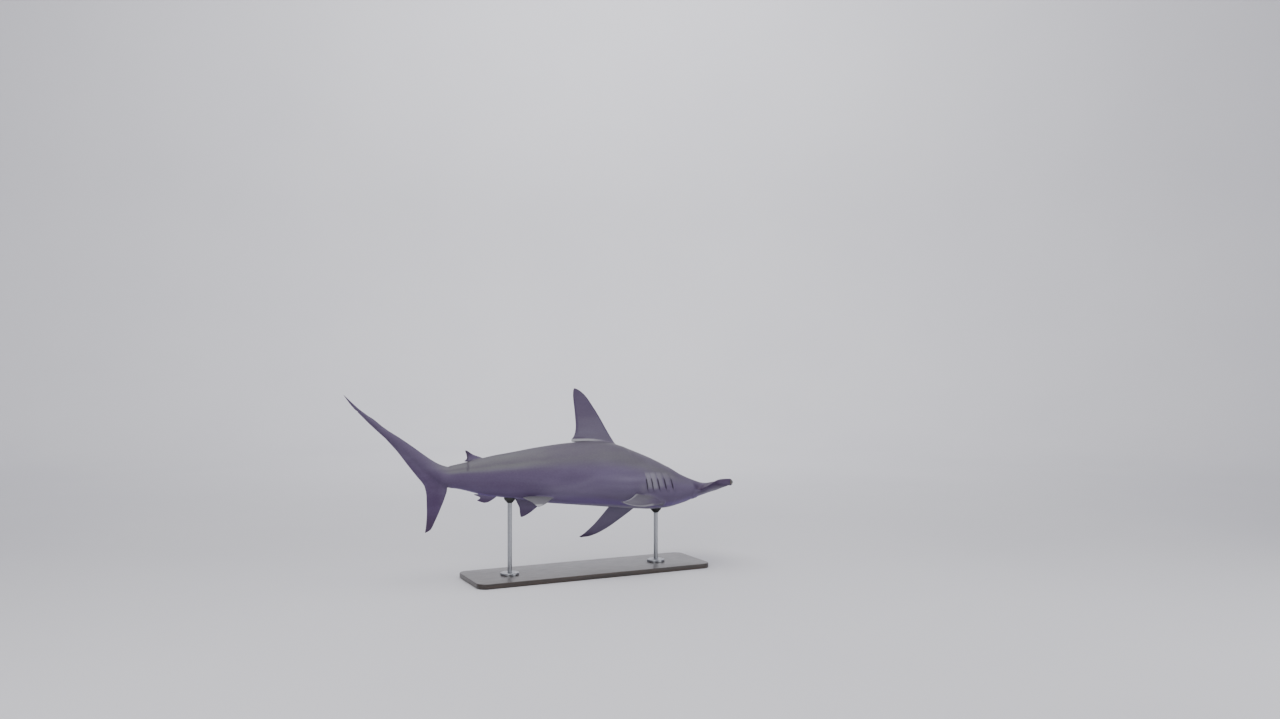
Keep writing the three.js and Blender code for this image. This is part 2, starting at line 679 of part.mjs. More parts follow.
const COLOURS = {
  hide: 0x6f6b66,
  hideDark: 0x5c5958,
  eye: 0x0c0c0e,
  base: 0x2b2a2a,
  steel: 0x8d9094,
  rubber: 0x232324,
};
const add = (name, solid, color) => shark.add(shaded(name, geometryOf(solid), color));
add('head', headSolid(), COLOURS.hide);
add('gills', loft(gillRings()), COLOURS.hide);
add('trunk_front', bodyLength(GILLS_END, TRUNK_MIDDLE, 7), COLOURS.hide);
add('trunk_rear', bodyLength(TRUNK_MIDDLE, TRUNK_END, 6), COLOURS.hide);
add('tail_stalk', bodyLength(TRUNK_END, TAIL_END, 7), COLOURS.hide);
const tailFin = tailFinSolids();
add('caudal_fin_upper', tailFin.upper, COLOURS.hide);
add('caudal_fin_lower', tailFin.lower, COLOURS.hideDark);
add('dorsal_fin_first', cutToBody(finSolid(DORSAL_FIRST)), COLOURS.hide);
add('dorsal_fin_second', cutToBody(finSolid(DORSAL_SECOND)), COLOURS.hideDark);
add('anal_fin', cutToBody(finSolid(ANAL_FIN)), COLOURS.hideDark);
for (const [word, flank] of [['left', LEFT], ['right', RIGHT]]) {
  const pectoral = pairedSolid(flank, PECTORAL, PECTORAL_HOLD[flank]);
  const pelvic = pairedSolid(flank, PELVIC, PELVIC_HOLD[flank]);
  add(`pectoral_fin_${word}`, cutToBody(pectoral), COLOURS.hideDark);
  add(`pelvic_fin_${word}`, cutToBody(pelvic), COLOURS.hideDark);
  shark.add(shaded(`eye_${word}`, geometryOf(eyeBall(flank, 0)), COLOURS.eye, 0.08));
}

const part = new THREE.Group();
part.add(shark);
part.add(shaded('stand_base', baseGeometry(), COLOURS.base, 0.45));

// A flange, a rod and a saddle under the body at a distance behind the snout
function addSupport(word, behind) {
  const x = HELD_BEHIND - behind;
  const bellyAt = AXIS_HEIGHT + bellyHeight(behind) * Math.cos(BANK) - x * Math.sin(NOSE_DOWN);
  const flangeAt = BASE.height + GAP;
  const rodAt = flangeAt + FLANGE.height + GAP;
  const saddleAt = bellyAt - SADDLE.height;
  const rodHeight = saddleAt - GAP - rodAt;
  const { radius, height, chamfer } = FLANGE;
  const rim = [[radius, height - chamfer], [radius - chamfer, height]];
  const flange = turned([[0, 0], [radius, 0], ...rim, [0, height]], 32, x, flangeAt);
  const rod = turned([[0, 0], [ROD_RADIUS, 0], [ROD_RADIUS, rodHeight], [0, rodHeight]], 20, x, rodAt);
  const wall = [[SADDLE.radius, SADDLE.waist], [SADDLE.radius, SADDLE.stock]];
  const cup = turned([[0, 0], [SADDLE.foot, 0], ...wall, [0, SADDLE.stock]], 28, x, saddleAt);
  part.add(shaded(`stand_flange_${word}`, geometryOf(flange), COLOURS.steel, 0.35, 0.9));
  part.add(shaded(`stand_rod_${word}`, geometryOf(rod), COLOURS.steel, 0.3, 0.9));
  const saddle = largest(cup.subtract(POSED_BODY));
  part.add(shaded(`stand_saddle_${word}`, geometryOf(saddle), COLOURS.rubber, 0.6));
}

addSupport('front', ROD_PLACES.front);
addSupport('rear', ROD_PLACES.rear);

export default part;
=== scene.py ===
"""A scalloped hammerhead shark at life size, banked and swimming straight over a display stand.

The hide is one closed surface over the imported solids. Its forms are worked out in millimetres in the
shark's own frame (distance behind the snout, side, height over the body's axis), then placed as the
solids are. The stand's pieces are built from their sizes over the same places.
"""

from __future__ import annotations

import logging
import math
from dataclasses import dataclass, field
from enum import Enum

import bmesh
import bpy
import numpy as np
from mathutils import Matrix, Vector

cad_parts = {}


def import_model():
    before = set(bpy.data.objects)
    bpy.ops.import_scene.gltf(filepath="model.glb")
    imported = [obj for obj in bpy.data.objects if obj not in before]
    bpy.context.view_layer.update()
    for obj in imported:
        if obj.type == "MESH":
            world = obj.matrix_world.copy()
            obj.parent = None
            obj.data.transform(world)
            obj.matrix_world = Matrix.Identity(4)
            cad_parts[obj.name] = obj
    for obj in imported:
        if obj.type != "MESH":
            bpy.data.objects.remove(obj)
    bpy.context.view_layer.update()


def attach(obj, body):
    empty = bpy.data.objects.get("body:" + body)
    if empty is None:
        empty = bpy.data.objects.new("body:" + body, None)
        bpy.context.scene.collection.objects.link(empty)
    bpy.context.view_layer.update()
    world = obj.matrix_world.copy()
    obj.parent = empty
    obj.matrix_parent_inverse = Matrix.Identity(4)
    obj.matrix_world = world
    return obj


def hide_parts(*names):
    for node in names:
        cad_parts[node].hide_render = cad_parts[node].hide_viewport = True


LOG = logging.getLogger("hammerhead")

MM = 0.001
BODY = "root"
AXIS_HEIGHT = 580.0
HELD_BEHIND = 900.0
BANK = math.radians(12)
NOSE_DOWN = math.radians(1.5)

Array = np.ndarray


class Flank(Enum):
    """The two sides of the shark. Its value is the sign of the side axis."""

    LEFT = 1
    RIGHT = -1


class Fusion(Enum):
    """How a second solid changes the first."""

    JOIN = "UNION"
    CUT = "DIFFERENCE"


# Plain arithmetic


def smooth_step(value: Array | float) -> Array:
    """Rises smoothly from 0 to 1 as value goes from 0 to 1."""
    t = np.clip(value, 0.0, 1.0)
    return t * t * (3.0 - 2.0 * t)


def hump(value: Array, centre: float, width: float) -> Array:
    """A bell curve of height 1 at centre, which has fallen to a third at width from it."""
    return np.exp(-(((value - centre) / width) ** 2))


def signed_power(value: Array, power: float) -> Array:
    """value to a power, with its sign kept."""
    return np.sign(value) * np.abs(value) ** power


def unit(vector: Array) -> Array:
    """vector with length 1."""
    return vector / np.linalg.norm(vector)


class Curve:
    """A smooth curve through points that never overshoots them."""

    def __init__(self, points: tuple[tuple[float, float], ...]) -> None:
        """Works out the curve's slopes.

        Args:
            points: Pairs of place and value, in rising order of place.
        """
        self.places, self.values = np.array(points, float).T
        slopes = np.diff(self.values) / np.diff(self.places)
        before, after = slopes[:-1], slopes[1:]
        same_way = before * after > 0
        total = np.where(same_way, before + after, 1.0)
        inner = np.where(same_way, 2.0 * before * after / total, 0.0)
        self.slopes = np.concatenate([slopes[:1], inner, slopes[-1:]])

    def __call__(self, place: Array | float) -> Array:
        """The curve's value at each place, held at its end values outside it."""
        at = np.clip(place, self.places[0], self.places[-1])
        i = np.clip(np.searchsorted(self.places, at, side="left") - 1, 0, len(self.places) - 2)
        width = self.places[i + 1] - self.places[i]
        t = (at - self.places[i]) / width
        rise = t * t * (3.0 - 2.0 * t) * (self.values[i + 1] - self.values[i])
        bend = self.slopes[i] * t * (1.0 - t) ** 2 + self.slopes[i + 1] * t * t * (t - 1.0)
        return self.values[i] + rise + bend * width


def even_levels(front: Curve, rear: Curve, span: float, count: int) -> Array:
    """Levels along a span, closer together where either edge turns quickly.

    Args:
        front: The front edge against the level.
        rear: The rear edge against the level.
        span: The last level.
        count: How many levels to give.

    Returns:
        The levels from 0 to span.
    """
    fine = np.linspace(0.0, span, 900)
    step = fine[1] - fine[0]
    run = np.maximum(np.abs(np.gradient(front(fine), step)), np.abs(np.gradient(rear(fine), step)))
    length = np.concatenate([[0.0], np.cumsum(np.sqrt(1.0 + run[1:] ** 2) * step)])
    return np.interp(np.linspace(0.0, length[-1], count), length, fine)


# Meshes


def spot(behind: Array | float, side: Array | float, height: Array | float) -> Array:
    """Points in the shark's frame from distance behind the snout, side and height."""
    return np.stack(np.broadcast_arrays(HELD_BEHIND - np.asarray(behind, float), side, height), -1)


def build_mesh(name: str, points: Array, faces: list[list[int]]) -> bpy.types.Object:
    """An object from points in millimetres, with its faces turned outward.

    Args:
        name: The object's name.
        points: One row for each point.
        faces: The point numbers of each face.

    Returns:
        The object, linked to the scene.
    """
    mesh = bpy.data.meshes.new(name)
    mesh.from_pydata((points * MM).tolist(), [], faces)
    mesh.validate()
    work = bmesh.new()
    work.from_mesh(mesh)
    bmesh.ops.recalc_face_normals(work, faces=work.faces)
    if work.calc_volume(signed=True) < 0:
        bmesh.ops.reverse_faces(work, faces=work.faces)
    work.to_mesh(mesh)
    work.free()
    obj = bpy.data.objects.new(name, mesh)
    bpy.context.scene.collection.objects.link(obj)
    return obj


def loft(name: str, rings: Array) -> bpy.types.Object:
    """A closed solid through rings of equal length, with a fan at each end.

    Args:
        name: The object's name.
        rings: An array of rings, points and coordinates.

    Returns:
        The solid as an object.
    """
    total, count = rings.shape[:2]
    number = np.arange(total * count).reshape(total, count)
    here, after = number[:-1], number[1:]
    sides = np.stack([here, np.roll(here, -1, 1), np.roll(after, -1, 1), after], -1)
    faces = sides.reshape(-1, 4).tolist()
    points = np.concatenate([rings.reshape(-1, 3), rings[[0, -1]].mean(axis=1)])
    for ring, centre in ((0, total * count), (total - 1, total * count + 1)):
        row = number[ring]
        faces += [[centre, int(b), int(a)] for a, b in zip(row, np.roll(row, -1))]
    return build_mesh(name, points, faces)


def fuse(base: bpy.types.Object, other: bpy.types.Object, how: Fusion) -> None:
    """Joins other to base or cuts it out, and removes other.

    Args:
        base: The object whose mesh changes.
        other: The second solid.
        how: Whether it is joined or cut out.
    """
    step = base.modifiers.new("fuse", "BOOLEAN")
    step.operation = how.value
    step.solver = "MANIFOLD"
    step.object = other
    ready = base.evaluated_get(bpy.context.evaluated_depsgraph_get())
    mesh = bpy.data.meshes.new_from_object(ready)
    base.modifiers.clear()
    old = base.data
    base.data = mesh
    bpy.data.meshes.remove(old)
    bpy.data.objects.remove(other)


def shade_smoothly(obj: bpy.types.Object, crease: float) -> None:
    """Smooth shading, except over edges sharper than crease degrees."""
    obj.data.shade_smooth()
    obj.data.set_sharp_from_angle(angle=math.radians(crease))


# The shark's forms


@dataclass(frozen=True)
class Gills:
    """Five slits a side, each under the rear edge of a flap that is taller than the slit."""

    slits: tuple[float, ...] = (386, 437, 485, 528, 565)
    slit_height: float = 62.0
    flap_height: float = 96.0
    middle: float = -68.0
    slant: float = 0.17
    region: tuple[float, float] = (352, 672)
    # Along one flap and its slit: distance from the slit, rise, and how far the band is carried back
    flap: tuple[tuple[float, float, float], ...] = (
        (-23, 0.0, 0.0),
        (-19, 0.8, 0.0),
        (-14.5, 1.9, 0.0),
        (-9.5, 3.0, 0.6),
        (-5, 3.8, 2.2),
        (-2, 4.2, 4.4),
        (-0.6, 4.0, 6.0),
        (0.1, 3.2, 6.9),
        (0.6, 2.0, 6.6),
        (1.0, -2.0, 4.2),
        (1.4, -6.5, 1.6),
        (1.9, -9.6, 0.2),
        (3.6, -10.0, 0.2),
        (5.6, -8.0, 0.4),
        (8.0, -4.4, 0.5),
        (10.2, -1.4, 0.2),
        (12.5, -0.1, 0.0),
    )

    def band(self, height: Array, tall: float) -> Array:
        """How much a height belongs to a band of the given height round the slits, from 0 to 1."""
        off = np.abs(height - self.middle) / (tall / 2)
        return 1.0 - smooth_step((off - 0.72) / 0.42)

    def slant_at(self, behind: Array, height: Array, out: Array) -> Array:
        """How far forward of its ring a point lies, because the slits lean.

        Args:
            behind: The ring's distance behind the snout.
            height: The point's height.
            out: The cosine of the point's angle round the ring.

        Returns:
            The forward shift in millimetres.
        """
        start, end = self.region
        reach = smooth_step((behind - start) / 30) * smooth_step((end - behind) / 60)
        return self.slant * (self.middle - height) * reach * np.minimum(1.0, np.abs(out))


@dataclass(frozen=True)
class Body:
    """The body from the head to the tail stalk's end, as sections along its length."""

    # Distance behind the snout, height of back and belly over the axis, half width
    sections: tuple[tuple[float, float, float, float], ...] = (
        (75, -72, -122, 66),
        (115, -58, -134, 92),
        (160, -44, -146, 106),
        (268, 0, -180, 122),
        (389, 70, -204, 144),
        (475, 112, -207, 154),
        (562, 148, -202, 160),
        (660, 184, -194, 165),
        (760, 210, -185, 166),
        (880, 217, -174, 160),
        (1002, 211, -163, 150),
        (1213, 186, -142, 120),
        (1385, 157, -114, 92),
        (1485, 141, -101, 78),
        (1561, 125, -89, 66),
        (1666, 101, -61, 54),
        (1720, 90, -49, 48),
        (1774, 79, -43, 43),
    )
    gills: Gills = field(default_factory=Gills)
    points: int = 144
    crowding: float = 0.18
    power: float = 0.95
    widest_below: float = 0.06
    ring_step: float = 8.0
    end_behind: float = 1772.0
    pit_behind: float = 1764.0
    pit_depth: float = 3.0

    def __post_init__(self) -> None:
        """Makes the curves of the back, the belly and the half width."""
        table = [tuple((row[0], row[i]) for row in self.sections) for i in (1, 2, 3)]
        for name, points in zip(("back", "belly", "half"), table):
            object.__setattr__(self, name, Curve(points))

    def middle(self, behind: Array) -> Array:
        """The height at which a section is widest."""
        back, belly = self.back(behind), self.belly(behind)
        return (back + belly) / 2 - self.widest_below * (back - belly)

    def ring(self, behind: float, lift: float = 0.0, drag: float = 0.0) -> Array:
        """One ring round the body.

        Args:
            behind: Its distance behind the snout.
            lift: How far the slits' band is pushed outward.
            drag: How far the slits' band is carried toward the tail.

        Returns:
            The ring's points.
        """
        turn = np.linspace(0, 2 * math.pi, self.points, endpoint=False)
        angle = turn - self.crowding * np.sin(2 * turn)
        out, up = np.cos(angle), np.sin(angle)
        middle = self.middle(behind)
        reach = np.where(up > 0, self.back(behind) - middle, middle - self.belly(behind))
        height = middle + reach * up
        tall = self.gills.slit_height if lift < 0 else self.gills.flap_height
        band = self.gills.band(height, tall) * np.minimum(1.0, np.abs(out) * 1.6)
        side = self.half(behind) * signed_power(out, self.power) + np.sign(out) * lift * band
        slant = self.gills.slant_at(behind, height, out)
        pit = self.pit_depth * hump(behind, self.pit_behind, 7) * hump(out, 0, 0.45)
        return spot(behind - slant + drag * band, side, height - np.sign(up) * pit)

    def rings(self) -> Array:
        """All rings, with the flaps and slits of the gills."""
        first_slit, last_slit = self.gills.slits[0], self.gills.slits[-1]
        start = self.sections[0][0]
        before = np.arange(start, first_slit - 28, self.ring_step)
        after = np.arange(last_slit + 20, self.end_behind, self.ring_step)
        rings = [self.ring(behind) for behind in before]
        for slit in self.gills.slits:
            rings += [self.ring(slit + place, lift, drag) for place, lift, drag in self.gills.flap]
        rings += [self.ring(behind) for behind in after]
        return np.stack(rings)

    def clearance(self, points: Array) -> Array:
        """How far points lie outside the body, roughly, and below zero inside it."""
        behind, side, height = HELD_BEHIND - points[..., 0], points[..., 1], points[..., 2]
        middle = self.middle(behind)
        above = height - middle
        reach = np.where(above > 0, self.back(behind) - middle, middle - self.belly(behind))
        across = np.abs(side / self.half(behind)) ** (1 / self.power)
        ratio = np.sqrt(across**2 + (above / reach) ** 2)
        return np.hypot(side, above) * (1.0 - 1.0 / np.maximum(ratio, 0.05))


@dataclass(frozen=True)
class Hammer:
    """The head's wide wings. Sizes are millimetres, and edges are distances behind the snout."""

    half_span: float = 338.0
    middle_height: float = -95.0
    tip_height: float = -85.0
    sweep: float = 62.0
    rear_edge: float = 188.0
    thick: float = 66.0
    thinning: float = 18.0
    tilt: float = 0.12
    tilt_pivot: float = 110.0
    # How far the rear edge is carried up beside the neck and toward the tip
    rear_lift: tuple[float, float] = (-14.0, 10.0)
    camber_length: float = 78.0
    # Depth, side place and width of each notch of the front edge
    notches: tuple[tuple[float, float, float], ...] = ((13, 0, 26), (7, 152, 28), (6, 282, 15))
    stations: int = 150
    steps: int = 40

    def tip_round(self, side: Array, start: float, depth: float) -> Array:
        """How far an edge has turned in at the tip: a quarter ellipse of the given depth."""
        t = np.clip((side - start) / (self.half_span + 1 - start), 0.0, 1.0)
        return depth * (1.0 - np.sqrt(1.0 - t * t))

    def front(self, side: Array) -> Array:
        """The front edge: an arch with a notch in the middle, part way out and at each nostril."""
        arch = self.sweep * (side / 310) ** 2.2
        cuts = sum(depth * hump(side, place, width) for depth, place, width in self.notches)
        return arch + cuts + self.tip_round(side, 308, 30)

    def rear(self, side: Array) -> Array:
        """The rear edge, which runs back into the neck near the middle."""
        nape = 60 * hump(side, 0, 85)
        return self.rear_edge + nape - 0.027 * side - self.tip_round(side, 300, 46)

    def thickness(self, side: Array) -> Array:
        """The full thickness at a side distance."""
        return self.thick - self.thinning * smooth_step(side / 240) - self.tip_round(side, 304, 30)

    def height(self, behind: Array, side: Array) -> Array:
        """The height of the wing's middle plane."""
        level = self.middle_height + (self.tip_height - self.middle_height) * side / self.half_span
        inner, outer = self.rear_lift
        lift = inner + (outer - inner) * smooth_step((side - 120) / 200)
        camber = lift * smooth_step((behind - self.tilt_pivot) / self.camber_length)
        return level + self.tilt * (self.tilt_pivot - behind) + camber

    def bulge(self, t: Array) -> Array:
        """The section's half thickness, as a share, at a share of its chord."""
        round_part = np.sqrt(np.clip(1.0 - (1.0 - 2.0 * t) ** 2, 0.0, 1.0))
        return np.where(t < 0.5, round_part**0.85, round_part)

    def rings(self) -> Array:
        """Sections from the left tip to the right one."""
        way = np.linspace(-1, 1, self.stations)
        sides = self.half_span * np.sin(way * math.pi / 2 * 0.93) / math.sin(math.pi / 2 * 0.93)
        t = (1 - np.cos(np.linspace(0, math.pi, self.steps + 1))) / 2
        side = np.abs(sides)[:, None]
        front = self.front(side)
        behind = front + (self.rear(side) - front) * t
        half = 0.5 * self.thickness(side) * self.bulge(t)
        level = self.height(behind, side)
        across = np.broadcast_to(sides[:, None], behind.shape)
        top = spot(behind, across, level + half)
        under = spot(behind, across, level - half)[:, 1:-1][:, ::-1]
        return np.concatenate([top, under], axis=1)

    def clearance(self, points: Array) -> Array:
        """How far points lie above or below the wing's surface, and below zero inside it."""
        behind, height = HELD_BEHIND - points[..., 0], points[..., 2]
        side = np.minimum(np.abs(points[..., 1]), self.half_span)
        front, rear = self.front(side), self.rear(side)
        t = (behind - front) / (rear - front)
        half = 0.5 * self.thickness(side) * self.bulge(np.clip(t, 0, 1))
        off_edge = np.maximum(front - behind, behind - rear)
        over = np.abs(height - self.height(behind, side)) - half
        return np.where(off_edge > 0, np.hypot(off_edge, np.maximum(over, 0)), over)


EDGE_HALF = 0.9
FOIL = (0.2969, -0.126, -0.3516, 0.2843, -0.1036)


def foil(t: Array) -> Array:
    """Half thickness of an aerofoil of thickness 1 at a share of its chord."""
    powers = (np.sqrt(t), t, t**2, t**3, t**4)
    return 5 * sum(weight * power for weight, power in zip(FOIL, powers))


def blade_section(thickness: Array, steps: int) -> tuple[Array, Array]:
    """The outline of blade sections, from the blunt edge to the thin one and back.

    Args:
        thickness: The thickness of each section.
        steps: Steps along the chord.

    Returns:
        The share of the chord and the signed half thickness of each point.
    """
    t = (1 - np.cos(np.linspace(0, math.pi, steps + 1))) / 2
    half = foil(t) * thickness[:, None] + EDGE_HALF * t
    chord = np.concatenate([t, t[:0:-1]])
    return np.broadcast_to(chord, (len(thickness), len(chord))), np.hstack([half, -half[:, :0:-1]])


@dataclass(frozen=True)
class Fin:
    """One fin: its edges against the distance out along its span, and how it is held."""

    root: tuple[float, float, float]
    chord: tuple[float, float, float]
    rise: tuple[float, float, float]
    front: tuple[tuple[float, float], ...]
    rear: tuple[tuple[float, float], ...]
    sink: float
    thickness: float
    tip_thickness: float
    fillet: float
    sweep: float = 0.0
    levels: int = 66
    steps: int = 22

    def __post_init__(self) -> None:
        """Works out the fin's own axes and the curves of its edges."""
        chord = unit(np.array(self.chord))
        rise = np.array(self.rise)
        out = unit(rise - chord * (rise @ chord))
        along = chord * math.cos(self.sweep) - out * math.sin(self.sweep)
        out = out * math.cos(self.sweep) + chord * math.sin(self.sweep)
        values = {
            "along": along,
            "out": out,
            "across": np.cross(along, out),
            "start": spot(*self.root),
            "span": self.front[-1][0],
            "front_edge": Curve(self.front),
            "rear_edge": Curve(self.rear),
        }
        for name, value in values.items():
            object.__setattr__(self, name, value)

    def width_at(self, level: Array) -> tuple[Array, Array, Array]:
        """The section at a level.

        Args:
            level: Distance out along the span.

        Returns:
            Its front edge, its width and its thickness.
        """
        height = np.maximum(0.0, level)
        start = self.front_edge(height)
        width = np.maximum(3.0, self.rear_edge(height) - start)
        share = height / self.span
        thick = self.thickness + (self.tip_thickness - self.thickness) * share
        return start, width, np.minimum(thick, 0.6 * width)

    def rings(self, body: Body) -> Array:
        """Sections from inside the body to the tip, flared where they meet the body.

        Args:
            body: The body that carries the fin.

        Returns:
            The rings' points.
        """
        hidden = np.linspace(-self.sink, 0, 12, endpoint=False)
        outer = even_levels(self.front_edge, self.rear_edge, self.span, self.levels)
        level = np.concatenate([hidden, outer])
        start, width, thick = self.width_at(level)
        share, half = blade_section(thick, self.steps)
        flat = np.stack([start[:, None] + width[:, None] * share, half], -1)
        place = self.place(flat[..., 0], level[:, None], flat[..., 1])
        depth = np.clip(body.clearance(place), 0.0, self.fillet)
        flare = self.fillet - np.sqrt(self.fillet**2 - (self.fillet - depth) ** 2)
        attached = self.rear[0][1]
        held = 1.0 - smooth_step((flat[..., 0] - attached + 34) / 30)
        way = np.roll(flat, -1, 1) - np.roll(flat, 1, 1)
        normal = np.stack([-way[..., 1], way[..., 0]], -1)
        normal /= np.linalg.norm(normal, axis=-1, keepdims=True) + 1e-9
        flat = flat + normal * (flare * held)[..., None]
        return self.place(flat[..., 0], level[:, None], flat[..., 1])

    def place(self, along: Array, level: Array, across: Array) -> Array:
        """Points from distances along the chord, out along the span and across the fin."""
        parts = ((along, self.along), (level, self.out), (across, self.across))
        return self.start + sum(np.asarray(amount)[..., None] * axis for amount, axis in parts)

    def measures(self, points: Array) -> tuple[Array, Array, Array]:
        """Where points lie in the fin's own axes.

        Args:
            points: Points in the shark's frame.

        Returns:
            Their distances along the chord, out along the span and across the fin.
        """
        away = points - self.start
        return away @ self.along, away @ self.out, away @ self.across

    def chord_share(self, points: Array) -> Array:
        """Where points lie between the front edge, 0, and the rear edge, 1."""
        along, level, _ = self.measures(points)
        start, width, _ = self.width_at(np.clip(level, 0, self.span))
        return (along - start) / width

    def holds(self, points: Array, body: Body) -> Array:
        """How much points belong to the fin's free part, from 0 to 1."""
        along, level, across = self.measures(points)
        start, width, thick = self.width_at(np.clip(level, 0, self.span))
        off_edge = np.maximum(start - along, along - start - width)
        off_side = np.abs(across) - 0.5 * thick
        near = 1.0 - smooth_step((np.maximum(off_edge, off_side) - self.fillet * 0.8) / 6)
        inside_span = (level > -self.sink) & (level < self.span + 4)
        return near * inside_span * smooth_step(body.clearance(points) / 9)


@dataclass(frozen=True)
class Hold:
    """How a paired fin is held, in radians: droop, rise of its chord to the tail, and sweep."""

    droop: float
    incline: float
    sweep: float


def paired(base: dict, flank: Flank, root: tuple[float, float, float], hold: Hold) -> dict:
    """The values of a paired fin for one flank.

    Args:
        base: The values that both fins share, with "toe_in" as the chord's turn to the middle.
        flank: The side that carries it.
        root: Where its base starts: behind the snout, side and height.
        hold: How it is held.

    Returns:
        The fin's values.
    """
    sign = flank.value
    values = {key: value for key, value in base.items() if key != "toe_in"}
    behind, side, height = root
    values["root"] = (behind, sign * side, height)
    values["chord"] = (-1.0, -sign * base["toe_in"], math.tan(hold.incline))
    values["rise"] = (0.0, sign * math.cos(hold.droop), -math.sin(hold.droop))
    values["sweep"] = hold.sweep
    return values


@dataclass(frozen=True)
class Tail:
    """The tail fin: a thick core, an upper blade and a lower lobe behind the stalk's end."""

    start: float = 1774.0
    # Distance behind the stalk's end, top, bottom and half width of the core
    core: tuple[tuple[float, float, float, float], ...] = (
        (0, 79, -43, 43),
        (40, 92, -32, 36),
        (90, 122, 3, 27),
        (150, 163, 62, 20),
        (230, 221, 138, 15),
        (330, 289, 228, 11),
        (430, 365, 322, 8),
        (500, 418, 394, 5),
    )
    top: tuple[tuple[float, float], ...] = (
        (0, 79), (47, 96), (127, 149), (195, 199), (268, 250), (353, 306), (413, 356),
        (455, 383), (493, 414), (575, 493),
    )
    rear: tuple[tuple[float, float], ...] = (
        (0, -70), (124, -60), (132, -31), (174, 26), (222, 88), (282, 169), (342, 238),
        (413, 318), (468, 380), (486, 402), (500, 400), (530, 427), (575, 489),
    )
    lobe_front: tuple[tuple[float, float], ...] = (
        (-293, 133), (-277, 104), (-238, 81), (-163, 44), (-99, 16), (-50, 1), (0, 1),
    )
    lobe_rear: tuple[tuple[float, float], ...] = (
        (-293, 137), (-252, 129), (-160, 122), (-92, 122), (-31, 131), (0, 150),
    )
    steps: int = 26
    pointed: float = 1.7

    def core_rings(self, body: Body) -> Array:
        """Rings of the core, which starts as the stalk's last section and runs out into the blades."""
        columns = [Curve(tuple((row[0], row[i]) for row in self.core)) for i in (1, 2, 3)]
        rings = []
        turn = np.linspace(0, 2 * math.pi, body.points, endpoint=False)
        angle = turn - body.crowding * np.sin(2 * turn)
        for behind in np.linspace(2, self.core[-1][0], 60):
            high, low, half = (column(behind) for column in columns)
            drop = body.widest_below * max(0.0, 1 - behind / 90)
            middle = (high + low) / 2 - drop * (high - low)
            reach = np.where(np.sin(angle) > 0, high - middle, middle - low)
            power = body.power + (self.pointed - body.power) * smooth_step(behind / 150)
            side = half * signed_power(np.cos(angle), power)
            rings.append(spot(self.start + behind, side, middle + reach * np.sin(angle)))
        return np.stack(rings)

    def upper_rings(self) -> Array:
        """Upright sections of the upper blade from its top edge to its rear one."""
        top, rear = Curve(self.top), Curve(self.rear)
        places = even_levels(top, rear, self.top[-1][0], 96)
        high, low = top(places) - 1, rear(places)
        thickness = np.minimum(17 - 10 * places / self.top[-1][0], 0.6 * (high - low))
        share, half = blade_section(thickness, self.steps)
        height = high[:, None] + (low - high)[:, None] * share
        return spot(self.start + places[:, None], half, height)[1:]

    def lower_rings(self) -> Array:
        """Level sections of the lower lobe from its root to its tip."""
        front, rear = Curve(self.lobe_front), Curve(self.lobe_rear)
        depth = -self.lobe_front[0][0]
        down = 1 - (1 - np.linspace(0, 1, 50)) ** 1.4
        height = -depth * down
        start = front(height)
        width = rear(height) - start
        thickness = np.minimum(18 + 12 * height / depth, 0.6 * width)
        share, half = blade_section(thickness, self.steps)
        behind = self.start + start[:, None] + width[:, None] * share
        return spot(behind, half, height[:, None])


DORSAL_FIRST = {
    "chord": (-1, 0, 0),
    "rise": (0, 0, 1),
    "front": ((0, 0), (75, 44), (161, 90), (242, 139), (301, 181), (334, 222), (343, 244)),
    "rear": (
        (0, 180), (7, 250), (12, 288), (22, 287), (42, 272), (72, 259), (120, 253),
        (200, 255), (288, 260), (330, 256), (343, 250),
    ),
    "sink": 45,
    "thickness": 32,
    "tip_thickness": 8,
    "fillet": 16,
    "levels": 96,
}
DORSAL_SECOND = {
    "chord": (-1, 0, -0.2),
    "rise": (0, 0, 1),
    "front": ((0, 0), (10, 12), (20, 29), (32, 49), (46, 65), (58, 76), (66, 86)),
    "rear": ((0, 92), (4, 108), (8, 110), (14, 100), (24, 92), (44, 91), (58, 93), (66, 93)),
    "sink": 22,
    "thickness": 14,
    "tip_thickness": 5,
    "fillet": 7,
    "levels": 50,
    "steps": 16,
}
ANAL_FIN = {
    "chord": (-1, 0, 0.14),
    "rise": (0, 0, -1),
    "front": ((0, 0), (12, 11), (24, 25), (34, 39), (42, 54), (46, 68)),
    "rear": (
        (0, 112), (4, 136), (7, 138), (12, 116), (19, 99), (26, 102), (32, 110), (37, 116),
        (42, 100), (46, 76),
    ),
    "sink": 22,
    "thickness": 14,
    "tip_thickness": 5,
    "fillet": 7,
    "levels": 60,
    "steps": 16,
}
PECTORAL = {
    "toe_in": 0.05,
    "front": ((0, 0), (69, 40), (139, 86), (208, 134), (266, 183), (312, 238), (336, 289)),
    "rear": (
        (0, 158), (14, 178), (28, 187), (44, 185), (69, 188), (116, 203), (174, 222),
        (231, 243), (277, 265), (312, 285), (336, 304),
    ),
    "sink": 50,
    "thickness": 34,
    "tip_thickness": 8,
    "fillet": 18,
    "levels": 80,
}
PELVIC = {
    "toe_in": 0.1,
    "front": ((0, 0), (46, 45), (92, 86), (120, 117), (132, 137)),
    "rear": ((0, 145), (11, 178), (25, 207), (46, 193), (81, 167), (110, 157), (132, 147)),
    "sink": 24,
    "thickness": 16,
    "tip_thickness": 5,
    "fillet": 10,
    "levels": 50,
    "steps": 18,
}


